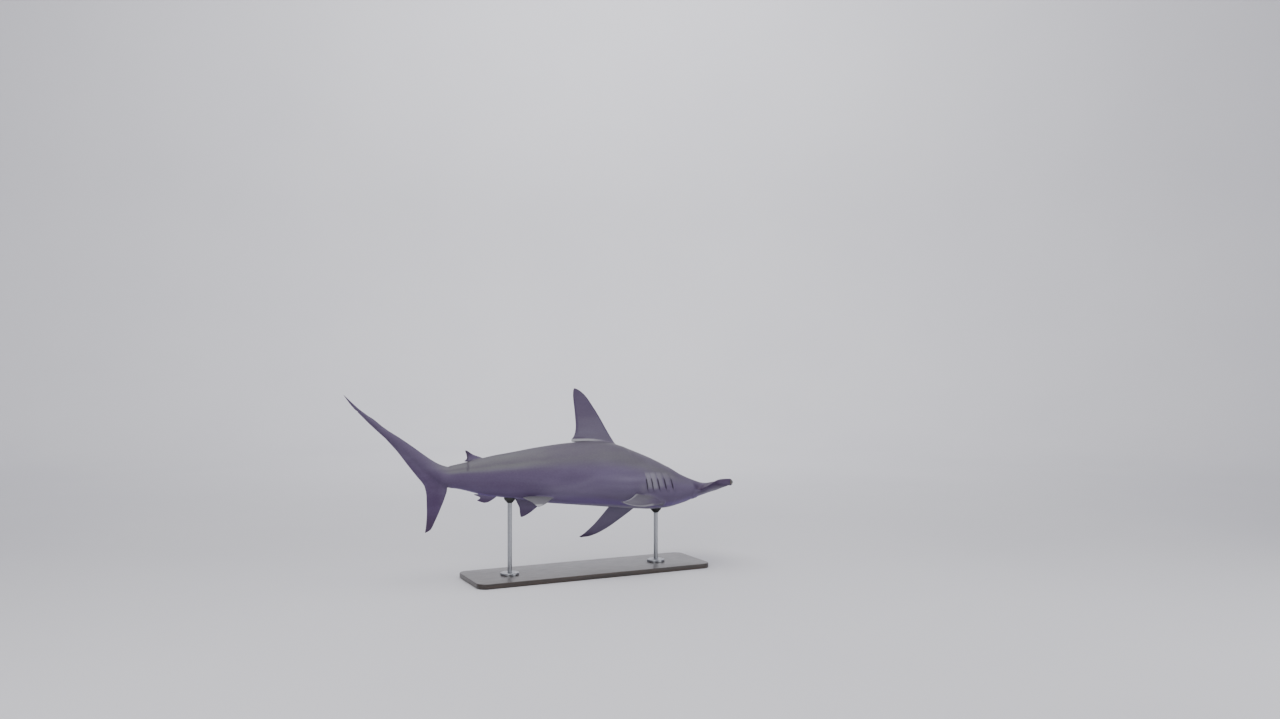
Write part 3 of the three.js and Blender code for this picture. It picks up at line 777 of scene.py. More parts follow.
def all_fins(body: Body) -> dict[str, Fin]:
    """Every fin but the tail, held as the photo shows.

    Args:
        body: The body that carries them.

    Returns:
        The fins by short names.
    """
    near, far = Flank.RIGHT, Flank.LEFT
    held = {
        "dorsal": {**DORSAL_FIRST, "root": (702, 0, float(body.back(822)) - 8)},
        "second": {**DORSAL_SECOND, "root": (1556, 0, float(body.back(1556)) - 2)},
        "anal": {**ANAL_FIN, "root": (1480, 0, float(body.belly(1480)) + 2)},
        "pectoral_right": paired(PECTORAL, near, (446, 99, -183), Hold(0.675, 0.484, 0.094)),
        "pectoral_left": paired(PECTORAL, far, (482, 119, -149), Hold(1.124, 0.314, -0.015)),
        "pelvic_right": paired(PELVIC, near, (1137, 58, -118), Hold(0.572, 0.108, -0.091)),
        "pelvic_left": paired(PELVIC, far, (1137, 58, -118), Hold(1.17, 0.251, -0.117)),
    }
    return {name: Fin(**values) for name, values in held.items()}


# The hide


def relax(points: Array, edges: Array, weight: Array, rounds: int) -> Array:
    """Moves points toward the mean of their neighbours.

    Args:
        points: The mesh's points.
        edges: Pairs of point numbers.
        weight: How freely each point moves, from 0 to 1.
        rounds: How many times.

    Returns:
        The moved points.
    """
    one, two = edges.T
    total = len(points)
    count = np.bincount(edges.ravel(), minlength=total)[:, None]
    for _ in range(rounds):
        sums = [
            np.bincount(one, points[two, axis], total) + np.bincount(two, points[one, axis], total)
            for axis in range(3)
        ]
        points = points + (np.stack(sums, -1) / count - points) * weight[:, None]
    return points


@dataclass(frozen=True)
class Mouth:
    """A wide arc on the head's underside with a lip on each side of its line."""

    half_width: float = 86.0
    front: float = 170.0
    arch: float = 66.0
    groove: float = 7.0
    groove_width: float = 2.6
    lip: float = 4.2
    lip_place: float = 9.5
    lip_width: float = 6.0

    def line(self) -> Array:
        """Points along the mouth in plan: distance behind the snout and side."""
        share = np.linspace(-1, 1, 121)
        return np.stack([self.front + self.arch * share**2, self.half_width * share], -1)

    def distance(self, behind: Array, side: Array) -> Array:
        """How far places in plan are from the mouth's line."""
        away = np.stack([behind, side], -1)[:, None, :] - self.line()[None]
        return np.sqrt((away**2).sum(-1).min(-1))

    def drop(self, behind: Array, side: Array) -> Array:
        """How far the surface hangs lower at places in plan, above zero at the lips."""
        off = self.distance(behind, side)
        end = 1.0 - smooth_step((np.abs(side) - self.half_width + 14) / 18)
        lips = self.lip * hump(off, self.lip_place, self.lip_width) * (0.35 + 0.65 * end)
        return lips - self.groove * hump(off, 0, self.groove_width) * (0.3 + 0.7 * end)


@dataclass(frozen=True)
class Nostril:
    """A slit in the hammer's front edge inside the eye, with a fainter groove toward the middle."""

    inner: float = 246.0
    outer: float = 300.0
    groove_inner: float = 160.0
    drop: float = 5.0
    depth: float = 7.0
    width: float = 4.2
    groove_depth: float = 1.8

    def press(self, hammer: Hammer, points: Array) -> Array:
        """How far back the surface is pressed at points of the shark's frame."""
        side = np.abs(points[:, 1])
        behind, height = HELD_BEHIND - points[:, 0], points[:, 2]
        front = hammer.front(side)
        level = hammer.height(front, side) - self.drop
        near = hump(np.hypot(height - level, (behind - front) * 0.45), 0, self.width)
        slit = smooth_step((side - self.inner) / 9) * (1 - smooth_step((side - self.outer + 9) / 9))
        groove = smooth_step((side - self.groove_inner) / 30) * (1 - smooth_step((side - self.inner) / 9))
        return near * (self.depth * slit + self.groove_depth * groove)


@dataclass(frozen=True)
class Eye:
    """An eye at the wing's tip and the ring of flesh round it."""

    radius: float = 20.0
    behind: float = 84.0
    side: float = 317.0
    height: float = -85.0
    flatness: float = 0.86
    socket_gap: float = 0.4
    lid: float = 6.0
    lid_turn: float = 0.35
    lid_back: float = 2.0
    lid_out: float = 4.0

    def centre(self, flank: Flank) -> Array:
        """The ball's middle in the shark's frame."""
        return spot(self.behind, flank.value * self.side, self.height)

    def gaze(self, flank: Flank) -> Array:
        """The way that the eye looks: outward and a little forward."""
        turn = self.lid_turn
        return np.array([math.sin(turn), flank.value * math.cos(turn), 0.0])

    def ball_rings(self, flank: Flank, grow: float, count: int = 40) -> Array:
        """Rings round the gaze from the back of the ball to its front.

        Args:
            flank: The side that it is on.
            grow: How much larger than the ball.
            count: How many rings, and half as many points again in each.

        Returns:
            The rings' points.
        """
        polar = np.linspace(math.pi * 0.99, math.pi * 0.01, count)[:, None]
        turn = np.linspace(0, 2 * math.pi, int(count * 1.5), endpoint=False)
        gaze = self.gaze(flank)
        level = unit(np.cross(gaze, (0, 0, 1)))
        ways = (np.cos(polar) * np.ones_like(turn), np.sin(polar) * np.cos(turn), np.sin(polar) * np.sin(turn))
        ball = sum(way[..., None] * axis for way, axis in zip(ways, (gaze, level, np.array([0, 0, 1.0]))))
        ball[..., 2] *= self.flatness
        return self.centre(flank) + ball * (self.radius + grow)

    def lid_rings(self, flank: Flank, count: int = 56, around: int = 18) -> Array:
        """The lid as a closed row of small rings; the last one meets the first.

        Args:
            flank: The side that it is on.
            count: Rings along the lid.
            around: Points in each ring.

        Returns:
            The rings' points.
        """
        turn = np.linspace(0, 2 * math.pi, count, endpoint=False)[:, None]
        small = np.linspace(0, 2 * math.pi, around, endpoint=False)
        gaze = self.gaze(flank)
        level = unit(np.cross(gaze, (0, 0, 1)))
        reach = self.radius - 0.5 + self.lid * np.cos(small)
        ways = (self.lid * np.sin(small) + 0 * turn, reach * np.cos(turn), reach * np.sin(turn))
        ring = sum(way[..., None] * axis for way, axis in zip(ways, (gaze, level, np.array([0, 0, 1.0]))))
        ring[..., 2] *= self.flatness
        centre = spot(self.behind + self.lid_back, flank.value * (self.side + self.lid_out), self.height)
        return centre + ring


def hoop(name: str, rings: Array) -> bpy.types.Object:
    """A closed solid through rings whose last one meets the first."""
    total, count = rings.shape[:2]
    number = np.arange(total * count).reshape(total, count)
    after = np.roll(number, -1, 0)
    faces = np.stack([number, np.roll(number, -1, 1), np.roll(after, -1, 1), after], -1)
    return build_mesh(name, rings.reshape(-1, 3), faces.reshape(-1, 4).tolist())


@dataclass
class Hide:
    """The whole skin: every form joined, rounded where they meet, with the head's details."""

    body: Body
    hammer: Hammer
    tail: Tail
    fins: dict[str, Fin]
    mouth: Mouth = field(default_factory=Mouth)
    nostril: Nostril = field(default_factory=Nostril)
    eye: Eye = field(default_factory=Eye)
    nape_reach: float = 40.0
    nape_rounds: int = 70
    root_rounds: int = 14
    tail_rounds: int = 70

    def join(self) -> bpy.types.Object:
        """All forms as one closed solid in the shark's frame."""
        trunk = np.concatenate([self.body.rings(), self.tail.core_rings(self.body)])
        whole = loft("hide", trunk)
        others = [loft("hammer", self.hammer.rings())]
        others += [loft(name, fin.rings(self.body)) for name, fin in self.fins.items()]
        others += [loft("upper", self.tail.upper_rings()), loft("lower", self.tail.lower_rings())]
        for other in others:
            fuse(whole, other, Fusion.JOIN)
        return whole

    def seams(self, points: Array) -> tuple[Array, Array]:
        """Where forms meet and how much each place may be rounded.

        Args:
            points: Points in the shark's frame.

        Returns:
            Weights round the nape, and weights round the fins' roots.
        """
        to_body = self.body.clearance(points)
        behind = HELD_BEHIND - points[:, 0]
        apart = np.maximum(np.abs(to_body), np.abs(self.hammer.clearance(points)))
        nape = (1 - smooth_step(apart / self.nape_reach)) * (behind < 330)
        roots = np.zeros(len(points))
        for fin in self.fins.values():
            along, level, across = fin.measures(points)
            start, width, thick = fin.width_at(np.clip(level, 0, fin.span))
            edge = np.maximum(start - along, along - start - width)
            off = np.maximum(edge, np.abs(across) - 0.5 * thick)
            near = 1 - smooth_step(np.abs(off - fin.fillet) / (0.9 * fin.fillet))
            low = 1 - smooth_step(np.abs(to_body) / (0.6 * fin.fillet))
            held = 1 - smooth_step((along - fin.rear[0][1] + 20) / 20)
            roots = np.maximum(roots, near * low * held * (np.abs(level) < fin.sink))
        return nape, roots

    def round_joints(self, obj: bpy.types.Object) -> None:
        """Rounds the nape, the fins' roots and the tail fin's core."""
        points, edges = read_mesh(obj)
        nape, roots = self.seams(points)
        points = relax(points, edges, 0.6 * nape, self.nape_rounds)
        points = relax(points, edges, 0.6 * roots, self.root_rounds)
        behind = HELD_BEHIND - points[:, 0]
        thick_part = smooth_step((np.abs(points[:, 1]) - 2.5) / 3)
        tail = smooth_step((behind - self.tail.start + 4) / 20) * thick_part
        write_points(obj, relax(points, edges, 0.5 * tail, self.tail_rounds))

    def add_lids(self, obj: bpy.types.Object) -> None:
        """Joins the lids, cuts the sockets and rounds what they leave."""
        for flank in Flank:
            fuse(obj, hoop("lid", self.eye.lid_rings(flank)), Fusion.JOIN)
            socket = loft("socket", self.eye.ball_rings(flank, self.eye.socket_gap))
            fuse(obj, socket, Fusion.CUT)
        points, edges = read_mesh(obj)
        reach = self.eye.radius + self.eye.lid
        weight = np.zeros(len(points))
        for flank in Flank:
            off = np.linalg.norm(points - self.eye.centre(flank), axis=1)
            outside = smooth_step((off - self.eye.radius * 0.96) / 3)
            weight = np.maximum(weight, outside * (1 - smooth_step((off - reach - 8) / 10)))
        write_points(obj, relax(points, edges, 0.5 * weight, 7))

    def refine(self, obj: bpy.types.Object, rounds: int = 2) -> None:
        """Adds points round the mouth and the nostrils."""
        work = bmesh.new()
        work.from_mesh(obj.data)
        for _ in range(rounds):
            work.verts.ensure_lookup_table()
            points = np.array([vertex.co for vertex in work.verts]) / MM
            normals = np.array([vertex.normal for vertex in work.verts])
            wanted = self.detail_mask(points, normals)
            edges = [
                edge
                for edge in work.edges
                if wanted[edge.verts[0].index] and wanted[edge.verts[1].index]
                and edge.calc_length() > 2.4 * MM
            ]
            bmesh.ops.subdivide_edges(work, edges=edges, cuts=1, use_grid_fill=True)
            bmesh.ops.triangulate(work, faces=[face for face in work.faces if len(face.verts) > 3])
            work.verts.index_update()
        work.to_mesh(obj.data)
        work.free()

    def detail_mask(self, points: Array, normals: Array) -> Array:
        """Which points lie round the mouth or the nostrils."""
        behind, side = HELD_BEHIND - points[:, 0], points[:, 1]
        box = (normals[:, 2] < -0.2) & (np.abs(side) < 112) & (behind > 140) & (behind < 270)
        mask = np.zeros(len(points), bool)
        mask[box] = self.mouth.distance(behind[box], side[box]) < 26
        wing = (np.abs(side) > 150) & (behind < 150)
        mask[wing] |= self.nostril.press(self.hammer, points[wing]) > 0.05
        return mask

    def carve(self, obj: bpy.types.Object) -> None:
        """Presses the mouth's line and the nostrils into the head and raises the lips."""
        points, edges = read_mesh(obj)
        normals = np.array([vertex.normal for vertex in obj.data.vertices])
        behind, side = HELD_BEHIND - points[:, 0], points[:, 1]
        box = (normals[:, 2] < -0.2) & (np.abs(side) < 130) & (behind > 120) & (behind < 290)
        drop = np.zeros(len(points))
        drop[box] = self.mouth.drop(behind[box], side[box])
        drop *= smooth_step((-normals[:, 2] - 0.2) / 0.3)
        points = points + normals * drop[:, None]
        wing = (np.abs(side) > 140) & (behind < 170)
        points[wing, 0] -= self.nostril.press(self.hammer, points[wing])
        near = np.abs(drop) > 0.3
        write_points(obj, relax(points, edges, 0.3 * near, 2))

    def build(self) -> bpy.types.Object:
        """The finished skin, painted and placed."""
        obj = self.join()
        self.round_joints(obj)
        self.add_lids(obj)
        self.refine(obj)
        self.carve(obj)
        MarksAndPaintedLight(self).paint(obj)
        obj.data.transform(pose())
        shade_smoothly(obj, 55)
        return obj


def read_mesh(obj: bpy.types.Object) -> tuple[Array, Array]:
    """A mesh's points in millimetres and its edges as pairs of point numbers."""
    mesh = obj.data
    points = np.empty(len(mesh.vertices) * 3)
    mesh.vertices.foreach_get("co", points)
    edges = np.empty(len(mesh.edges) * 2, np.int64)
    mesh.edges.foreach_get("vertices", edges)
    return points.reshape(-1, 3) / MM, edges.reshape(-1, 2)


def write_points(obj: bpy.types.Object, points: Array) -> None:
    """Puts points in millimetres back into a mesh."""
    obj.data.vertices.foreach_set("co", (points * MM).ravel())
    obj.data.update()


def pose() -> Matrix:
    """How the shark is held over the stand, in metres."""
    lift = Matrix.Translation((0, 0, AXIS_HEIGHT * MM))
    return lift @ Matrix.Rotation(NOSE_DOWN, 4, "Y") @ Matrix.Rotation(-BANK, 4, "X")


# The shark's markings, painted highlights and painted shade


class Mark(Enum):
    """The hide's painted fields, each stored at the points of its mesh."""

    TONE = "tone"
    OLIVE = "olive"
    UNDERSIDE = "underside"
    DUSK = "dusk"
    PALE = "pale"
    CREAM = "cream"
    SLIT = "slit"
    PORES = "pores"


@dataclass
class MarksAndPaintedLight:
    """Where the hide is light, dark, white or dusky, worked out from its forms, with painted highlights and painted
    shade among the marks.
    """

    hide: Hide
    # Tone down a section, from belly, -1, to back, 1, for the middle, the rear and the head's end; the rear's light
    # band high on the flank is a painted highlight
    middle_tone: tuple[tuple[float, float], ...] = (
        (-1, 0.52), (-0.65, 0.43), (-0.45, 0.38), (-0.28, 0.32), (-0.06, 0.31), (0.2, 0.36),
        (0.5, 0.38), (0.8, 0.34), (1, 0.28),
    )
    rear_tone: tuple[tuple[float, float], ...] = (
        (-1, 0.29), (-0.58, 0.24), (-0.2, 0.26), (0.12, 0.27), (0.22, 0.31), (0.3, 0.49),
        (0.42, 0.56), (0.56, 0.38), (0.7, 0.45), (0.84, 0.46), (1, 0.36),
    )
    head_tone: tuple[tuple[float, float], ...] = (
        (-1, 0.36), (-0.6, 0.33), (-0.2, 0.34), (0.05, 0.4), (0.3, 0.46), (0.45, 0.41), (0.62, 0.28),
        (1, 0.2),
    )
    # Where the painted highlight, a light streak along the flank, runs: distance behind the snout and place in the
    # section
    streak: tuple[tuple[float, float], ...] = (
        (480, 0.2), (600, 0.02), (715, -0.1), (880, -0.13), (1060, -0.47), (1260, -0.58),
    )
    # How much painted light falls on the flap in front of each slit, from the head to the tail
    flap_lighting: tuple[float, ...] = (0.05, 0.4, 0.7, 1.0, 0.9)
    # Tone of the tail fin against its height over the body's axis
    tail_tone: tuple[tuple[float, float], ...] = (
        (-200, -0.04), (-110, 0.03), (-60, 0.1), (-10, 0.08), (30, 0.09), (80, 0.19), (140, 0.24),
    )

    def section_place(self, points: Array) -> Array:
        """How high points lie in their section, from -1 at the belly to 1 at the back."""
        body = self.hide.body
        behind, height = HELD_BEHIND - points[:, 0], points[:, 2]
        middle = body.middle(behind)
        above = height - middle
        reach = np.where(above > 0, body.back(behind) - middle, middle - body.belly(behind))
        return np.clip(above / reach, -1.2, 1.2)

    def body_tone(self, behind: Array, up: Array) -> Array:
        """How light the body is.

        Args:
            behind: Distance behind the snout.
            up: Place in the section.

        Returns:
            The tone, from 0, darkest, to 1.
        """
        toward_rear = smooth_step((behind - 1080) / 300)
        toward_head = 1 - smooth_step((behind - 330) / 320)
        middle, rear, head = (Curve(t)(up) for t in (self.middle_tone, self.rear_tone, self.head_tone))
        tone = middle + (rear - middle) * toward_rear
        tone = tone + (head - tone) * toward_head
        # A painted highlight: a light streak, with a fainter one under it, along the flank
        centre = Curve(self.streak)(behind)
        streak = hump(up, centre, 0.13) + 0.5 * hump(up, centre - 0.26, 0.09)
        reach = smooth_step((behind - 430) / 120) * (1 - smooth_step((behind - 1120) / 160))
        strength = 0.13 + 0.15 * hump(behind, 690, 150)
        lower_half = 1 - smooth_step((up + 0.1) / 0.3)
        shoulder = hump(behind, 715, 90) * (0.07 * lower_half + 0.07 * smooth_step((-0.5 - up) / 0.2))
        stalk = 0.06 * smooth_step((behind - 1600) / 100) * hump(up, 0.05, 0.3)
        return tone + streak * reach * strength + shoulder - stalk

    def gill_fields(self, points: Array) -> tuple[Array, Array]:
        """The painted shade in the slits and the painted light on the flaps, each from 0 to 1."""
        body, gills = self.hide.body, self.hide.body.gills
        behind, side, height = HELD_BEHIND - points[:, 0], points[:, 1], points[:, 2]
        out = np.abs(side) / body.half(behind)
        along = behind + gills.slant_at(behind, height, out)
        side_face = smooth_step((out - 0.3) / 0.2)
        slit_band = gills.band(height, gills.slit_height * 0.9) * side_face
        slit = np.zeros(len(points))
        flap = np.zeros(len(points))
        for place, paleness in zip(gills.slits, self.flap_lighting):
            off = along - place
            # Painted shade in the slit behind each flap
            dark = smooth_step((off - 2) / 3) * (1 - smooth_step((off - 7) / 6))
            slit = np.maximum(slit, dark * (0.75 - 0.4 * paleness))
            # Painted light on the raised flap in front of each slit, and on a patch behind the last one
            rise = smooth_step((off + 36) / 18) * (1 - smooth_step((off - 6) / 3))
            raised = 20 + 16 * (1 - paleness)
            band = gills.band(height - raised, gills.flap_height * (0.7 + 0.4 * paleness))
            flap = np.maximum(flap, paleness * rise * band)
        behind_last = hump(along, gills.slits[-1] + 34, 26) * hump(height, gills.middle - 26, 34)
        return slit * slit_band, np.maximum(flap, 0.35 * behind_last) * side_face

    def fields(self, points: Array, normals: Array) -> dict[Mark, Array]:
        """All painted fields.

        Args:
            points: Points in the shark's frame.
            normals: The surface's directions there.

        Returns:
            One value from 0 to 1 for each point and mark.
        """
        hide = self.hide
        behind, side, height = HELD_BEHIND - points[:, 0], points[:, 1], points[:, 2]
        up = self.section_place(points)
        tone = self.body_tone(behind, up)
        olive = smooth_step((up - 0.05) / 0.45) * (0.25 + 0.75 * smooth_step((behind - 240) / 200))
        low = smooth_step((-0.38 - up) / 0.55) * (1 - 0.8 * smooth_step((behind - 820) / 380))
        underside = 0.6 * low + 0.4 * smooth_step((-0.93 - up) / 0.07)
        dusk = np.zeros(len(points))
        pale = np.zeros(len(points))
        slit, cream = self.gill_fields(points)
        # Painted shade in the pit before the tail fin, and a thin dark line down the flank under the second dorsal
        # fin
        pit = hump(behind, hide.body.pit_behind, 9) * smooth_step((up - 0.75) / 0.15)
        line = hump(behind - 20 * (1 - up), 1652, 6) * smooth_step((up - 0.3) / 0.2)
        slit = np.maximum(slit, np.maximum(0.6 * pit, 0.85 * line))

        wing = smooth_step((np.abs(side) - 78) / 36) * (1 - smooth_step((behind - 212) / 22))
        facing_up = smooth_step((normals[:, 2] + 0.25) / 0.5)
        wing_tone = 0.5 - 0.32 * facing_up - 0.26 * smooth_step((np.abs(side) - 165) / 110)
        cheek = hump(behind, 190, 34) * smooth_step((np.abs(side) - 40) / 30)
        tone += (wing_tone - tone) * wing - 0.1 * cheek * (1 - wing)
        outer = smooth_step((np.abs(side) - 92) / 34) * smooth_step(normals[:, 2] / 0.45)
        tip = smooth_step((np.abs(side) - 265) / 50)
        dusk = np.maximum(dusk, wing * np.maximum(0.9 * outer, 0.55 * tip))
        olive *= 1 - wing
        # The pale underside is kept to the middle of the belly and round the mouth; the lower flanks and the wings'
        # undersides keep the grey tone, painted shade over the paler underside of the real shark
        below = smooth_step((-normals[:, 2] - 0.45) / 0.3) * (1 - smooth_step((behind - 260) / 90))
        underside = np.maximum(underside, 0.4 * below) * (1 - smooth_step((np.abs(side) - 70) / 50))
        pores = np.clip(below + hump(behind, 60, 30) * wing, 0, 1)

        upper = smooth_step((height - 10) / 70)
        tail = smooth_step((behind - 1740) / (50 + 120 * upper))
        tail_fin = hide.tail
        top, rear = (Curve(edge)(behind - tail_fin.start) for edge in (tail_fin.top, tail_fin.rear))
        down = np.clip((top - height) / (top - rear + 1), 0, 1)
        tail_tone = Curve(self.tail_tone)(height) + 0.12 * (1 - smooth_step((behind - 1795) / 45)) * (1 - upper)
        # A painted highlight along the top where the stalk runs into the tail fin
        stalk_top = (1 - smooth_step((behind - 1800) / 160)) * (1 - smooth_step((down - 0.25) / 0.35))
        tail_tone = tail_tone + 0.2 * stalk_top - 0.07 * smooth_step((down - 0.62) / 0.3) * upper
        tone += (tail_tone - tone) * tail
        olive += (0.2 * upper - olive) * tail
        underside *= 1 - tail
        dusk = np.maximum(dusk, smooth_step((-150 - height) / 120) * tail)

        for name, fin in hide.fins.items():
            held = fin.holds(points, hide.body)
            share = fin.chord_share(points)
            _, level, across = fin.measures(points)
            far = np.clip(level / fin.span, 0, 1)
            upper_face = smooth_step(0.5 + across * np.sign(fin.across[2] + 1e-6) / 4)
            look = FIN_LOOKS[name]
            fin_tone = look.root_tone + (look.tip_tone - look.root_tone) * smooth_step(far * 1.15)
            under_tone = look.under_tone * (1 - 0.5 * smooth_step(far * 1.2))
            fin_tone = fin_tone + (under_tone - fin_tone) * (1 - upper_face) * look.sided
            edge = np.maximum(1 - smooth_step(share / 0.12), smooth_step((share - 0.88) / 0.1))
            fin_tone = fin_tone - look.dark_edge * edge * smooth_step((far - 0.12) / 0.1)
            at_root = 1 - smooth_step((far - 0.2) / 0.35)
            shade = (0.45 + 0.55 * at_root) * (1 - smooth_step((share - 0.15) / 0.35))
            fin_tone = fin_tone - look.root_shade * shade
            tone += (fin_tone - tone) * held
            olive += (look.olive * (1 - 3 * look.root_shade * shade * at_root) - olive) * held
            underside *= 1 - held
            dusk = np.maximum(dusk, held * look.dusk * smooth_step((far - look.dusk_from) / 0.3))
            # Painted highlights: a line along the front and the rear edges, a wedge on the free rear tip and a spot
            # at the apex
            lead = (1 - smooth_step((share - 0.05) / 0.04)) * smooth_step((far - 0.3) / 0.1)
            trail = smooth_step((share - 0.9) / 0.06) * smooth_step((far - 0.2) / 0.1)
            free_tip = smooth_step((share - look.tip_share) / 0.45)
            wedge = look.tip_height * (0.7 + 0.3 * free_tip)
            above = look.tip_shade * hump(level, look.tip_height + 10, 6) * smooth_step((share - 0.6) / 0.2)
            dusk = np.maximum(dusk, held * above)
            free_tip = free_tip * (1 - smooth_step((level - wedge) / 6))
            apex = smooth_step((far - 0.78) / 0.12)
            parts = (look.lead_highlight * lead, look.trail_highlight * trail, look.tip_highlight * free_tip, look.apex_highlight * apex)
            for part in parts:
                pale = np.maximum(pale, held * part)
        return {
            Mark.TONE: tone,
            Mark.OLIVE: olive,
            Mark.UNDERSIDE: underside,
            Mark.DUSK: dusk,
            Mark.PALE: pale,
            Mark.CREAM: cream,
            Mark.SLIT: slit,
            Mark.PORES: pores,
        }

    def paint(self, obj: bpy.types.Object) -> None:
        """Stores the painted fields and each point's place along the shark in the mesh."""
        points, _ = read_mesh(obj)
        normals = np.array([vertex.normal for vertex in obj.data.vertices])
        for mark, values in self.fields(points, normals).items():
            layer = obj.data.attributes.new(mark.value, "FLOAT", "POINT")
            layer.data.foreach_set("value", np.clip(values, 0, 1).astype(np.float32))
        place = obj.data.attributes.new("place", "FLOAT_VECTOR", "POINT")
        place.data.foreach_set("vector", (points * MM).astype(np.float32).ravel())


@dataclass(frozen=True)
class FinLook:
    """How one fin is painted, from 0 to 1 for each tone and mark."""

    root_tone: float
    tip_tone: float
    under_tone: float = 0.1
    sided: float = 0.0
    olive: float = 0.5
    dusk: float = 0.6
    dusk_from: float = 0.75
    dark_edge: float = 0.0
    root_shade: float = 0.0
    lead_highlight: float = 0.0
    trail_highlight: float = 0.0
    apex_highlight: float = 0.0
    tip_highlight: float = 0.0
    tip_height: float = 12.0
    tip_share: float = 0.6
    tip_shade: float = 0.0


# The right fins are painted lighter and olive, with painted highlights, and the left fins darker and duskier: the
# same pairs painted lit and in shade, over the fins' own dusky tips
FIN_LOOKS = {
    "dorsal": FinLook(
        0.47,
        0.25,
        olive=0.4,
        dusk=0.28,
        dusk_from=0.35,
        dark_edge=0.26,
        tip_highlight=1.0,
        tip_height=24,
        tip_share=0.2,
        tip_shade=0.5,
    ),
    "second": FinLook(0.4, 0.0, olive=0.0, dusk=0.85, dusk_from=0.4, dark_edge=0.2),
    "anal": FinLook(0.32, 0.06, olive=0.0, dusk=0.4, dusk_from=0.4),
    "pectoral_right": FinLook(
        0.47,
        0.42,
        under_tone=0.9,
        sided=1.0,
        olive=0.85,
        dusk=0.1,
        dusk_from=0.9,
        root_shade=0.18,
        lead_highlight=0.5,
        trail_highlight=0.45,
    ),
    "pectoral_left": FinLook(
        0.42, 0.32, under_tone=1.0, sided=1.0, olive=0.0, dusk=1.0, dusk_from=0.74
    ),
    "pelvic_right": FinLook(
        0.6, 0.66, under_tone=0.8, sided=1.0, olive=0.85, dusk=0.0, apex_highlight=1.0
    ),
    "pelvic_left": FinLook(
        0.41, 0.3, under_tone=0.5, sided=1.0, olive=0.0, dusk=0.5, dusk_from=0.5
    ),
}


# Materials


def colour(red: int, green: int, blue: int) -> tuple[float, float, float, float]:
    """A colour as a shader takes it, from the usual 0 to 255 levels."""
    levels = (level / 255 for level in (red, green, blue))
    linear = (v / 12.92 if v <= 0.04045 else ((v + 0.055) / 1.055) ** 2.4 for v in levels)
    return (*linear, 1.0)


class Board:
    """Adds and joins the nodes of one tree."""

    def __init__(self, tree: bpy.types.NodeTree) -> None:
        """Starts on a tree."""
        self.tree = tree

    def add(self, kind: str, inputs: dict | None = None, **settings: object) -> bpy.types.Node:
        """Adds a node.

        Args:
            kind: The node's type without the ShaderNode prefix.
            inputs: A value or a socket for each named or numbered input.
            **settings: The node's own properties.

        Returns:
            The node.
        """
        node = self.tree.nodes.new("ShaderNode" + kind)
        for name, value in settings.items():
            setattr(node, name, value)
        for name, value in (inputs or {}).items():
            if isinstance(value, bpy.types.NodeSocket):
                self.tree.links.new(value, node.inputs[name])
            else:
                node.inputs[name].default_value = value
        return node

    def math(self, operation: str, *values: object) -> bpy.types.NodeSocket:
        """The result of one operation on numbers or sockets."""
        return self.add("Math", dict(enumerate(values)), operation=operation).outputs[0]

    def blend(self, amount: object, first: object, second: object) -> bpy.types.NodeSocket:
        """A colour between first, at amount 0, and second, at amount 1."""
        values = {"Factor": amount, "A": first, "B": second}
        node = self.add("Mix", data_type="RGBA", clamp_factor=True)
        sockets = {"Factor": node.inputs[0], "A": node.inputs[6], "B": node.inputs[7]}
        for name, value in values.items():
            if isinstance(value, bpy.types.NodeSocket):
                self.tree.links.new(value, sockets[name])
            else:
                sockets[name].default_value = value
        return node.outputs[2]

    def field(self, name: str) -> bpy.types.NodeSocket:
        """A painted field's value."""
        return self.add("Attribute", attribute_name=name, attribute_type="GEOMETRY").outputs["Fac"]

    def spread(self, value: object, low: float, high: float, to_low: float, to_high: float) -> bpy.types.NodeSocket:
        """value carried from one range to another, and held inside it."""
        inputs = {0: value, 1: low, 2: high, 3: to_low, 4: to_high}
        return self.add("MapRange", inputs, clamp=True).outputs[0]


class Effect:
    """A shader node group that several materials share. It is built once."""

    title = ""
    sockets_in: dict[str, tuple[str, object]] = {}
    sockets_out: dict[str, str] = {}

    def tree(self) -> bpy.types.NodeTree:
        """The group's tree, made at the first call."""
        found = bpy.data.node_groups.get(self.title)
        if found:
            return found
        tree = bpy.data.node_groups.new(self.title, "ShaderNodeTree")
        for name, (kind, value) in self.sockets_in.items():
            socket = tree.interface.new_socket(name, in_out="INPUT", socket_type=kind)
            if value is not None:
                socket.default_value = value
        for name, kind in self.sockets_out.items():
            tree.interface.new_socket(name, in_out="OUTPUT", socket_type=kind)
        board = Board(tree)
        start = tree.nodes.new("NodeGroupInput")
        end = tree.nodes.new("NodeGroupOutput")
        for name, socket in self.fill(board, start.outputs).items():
            tree.links.new(socket, end.inputs[name])
        return tree

    def fill(self, board: Board, given: bpy.types.NodeOutputs) -> dict[str, bpy.types.NodeSocket]:
        """Builds the effect's nodes and gives the socket of each output."""
        raise NotImplementedError

    def place(self, board: Board, **inputs: object) -> bpy.types.NodeOutputs:
        """Puts the group into a material.

        Args:
            board: The material's board.
            **inputs: A value or a socket for each input.

        Returns:
            The group's outputs.
        """
        node = board.add("Group", node_tree=self.tree())
        for name, value in inputs.items():
            if isinstance(value, bpy.types.NodeSocket):
                board.tree.links.new(value, node.inputs[name])
            else:
                node.inputs[name].default_value = value
        return node.outputs


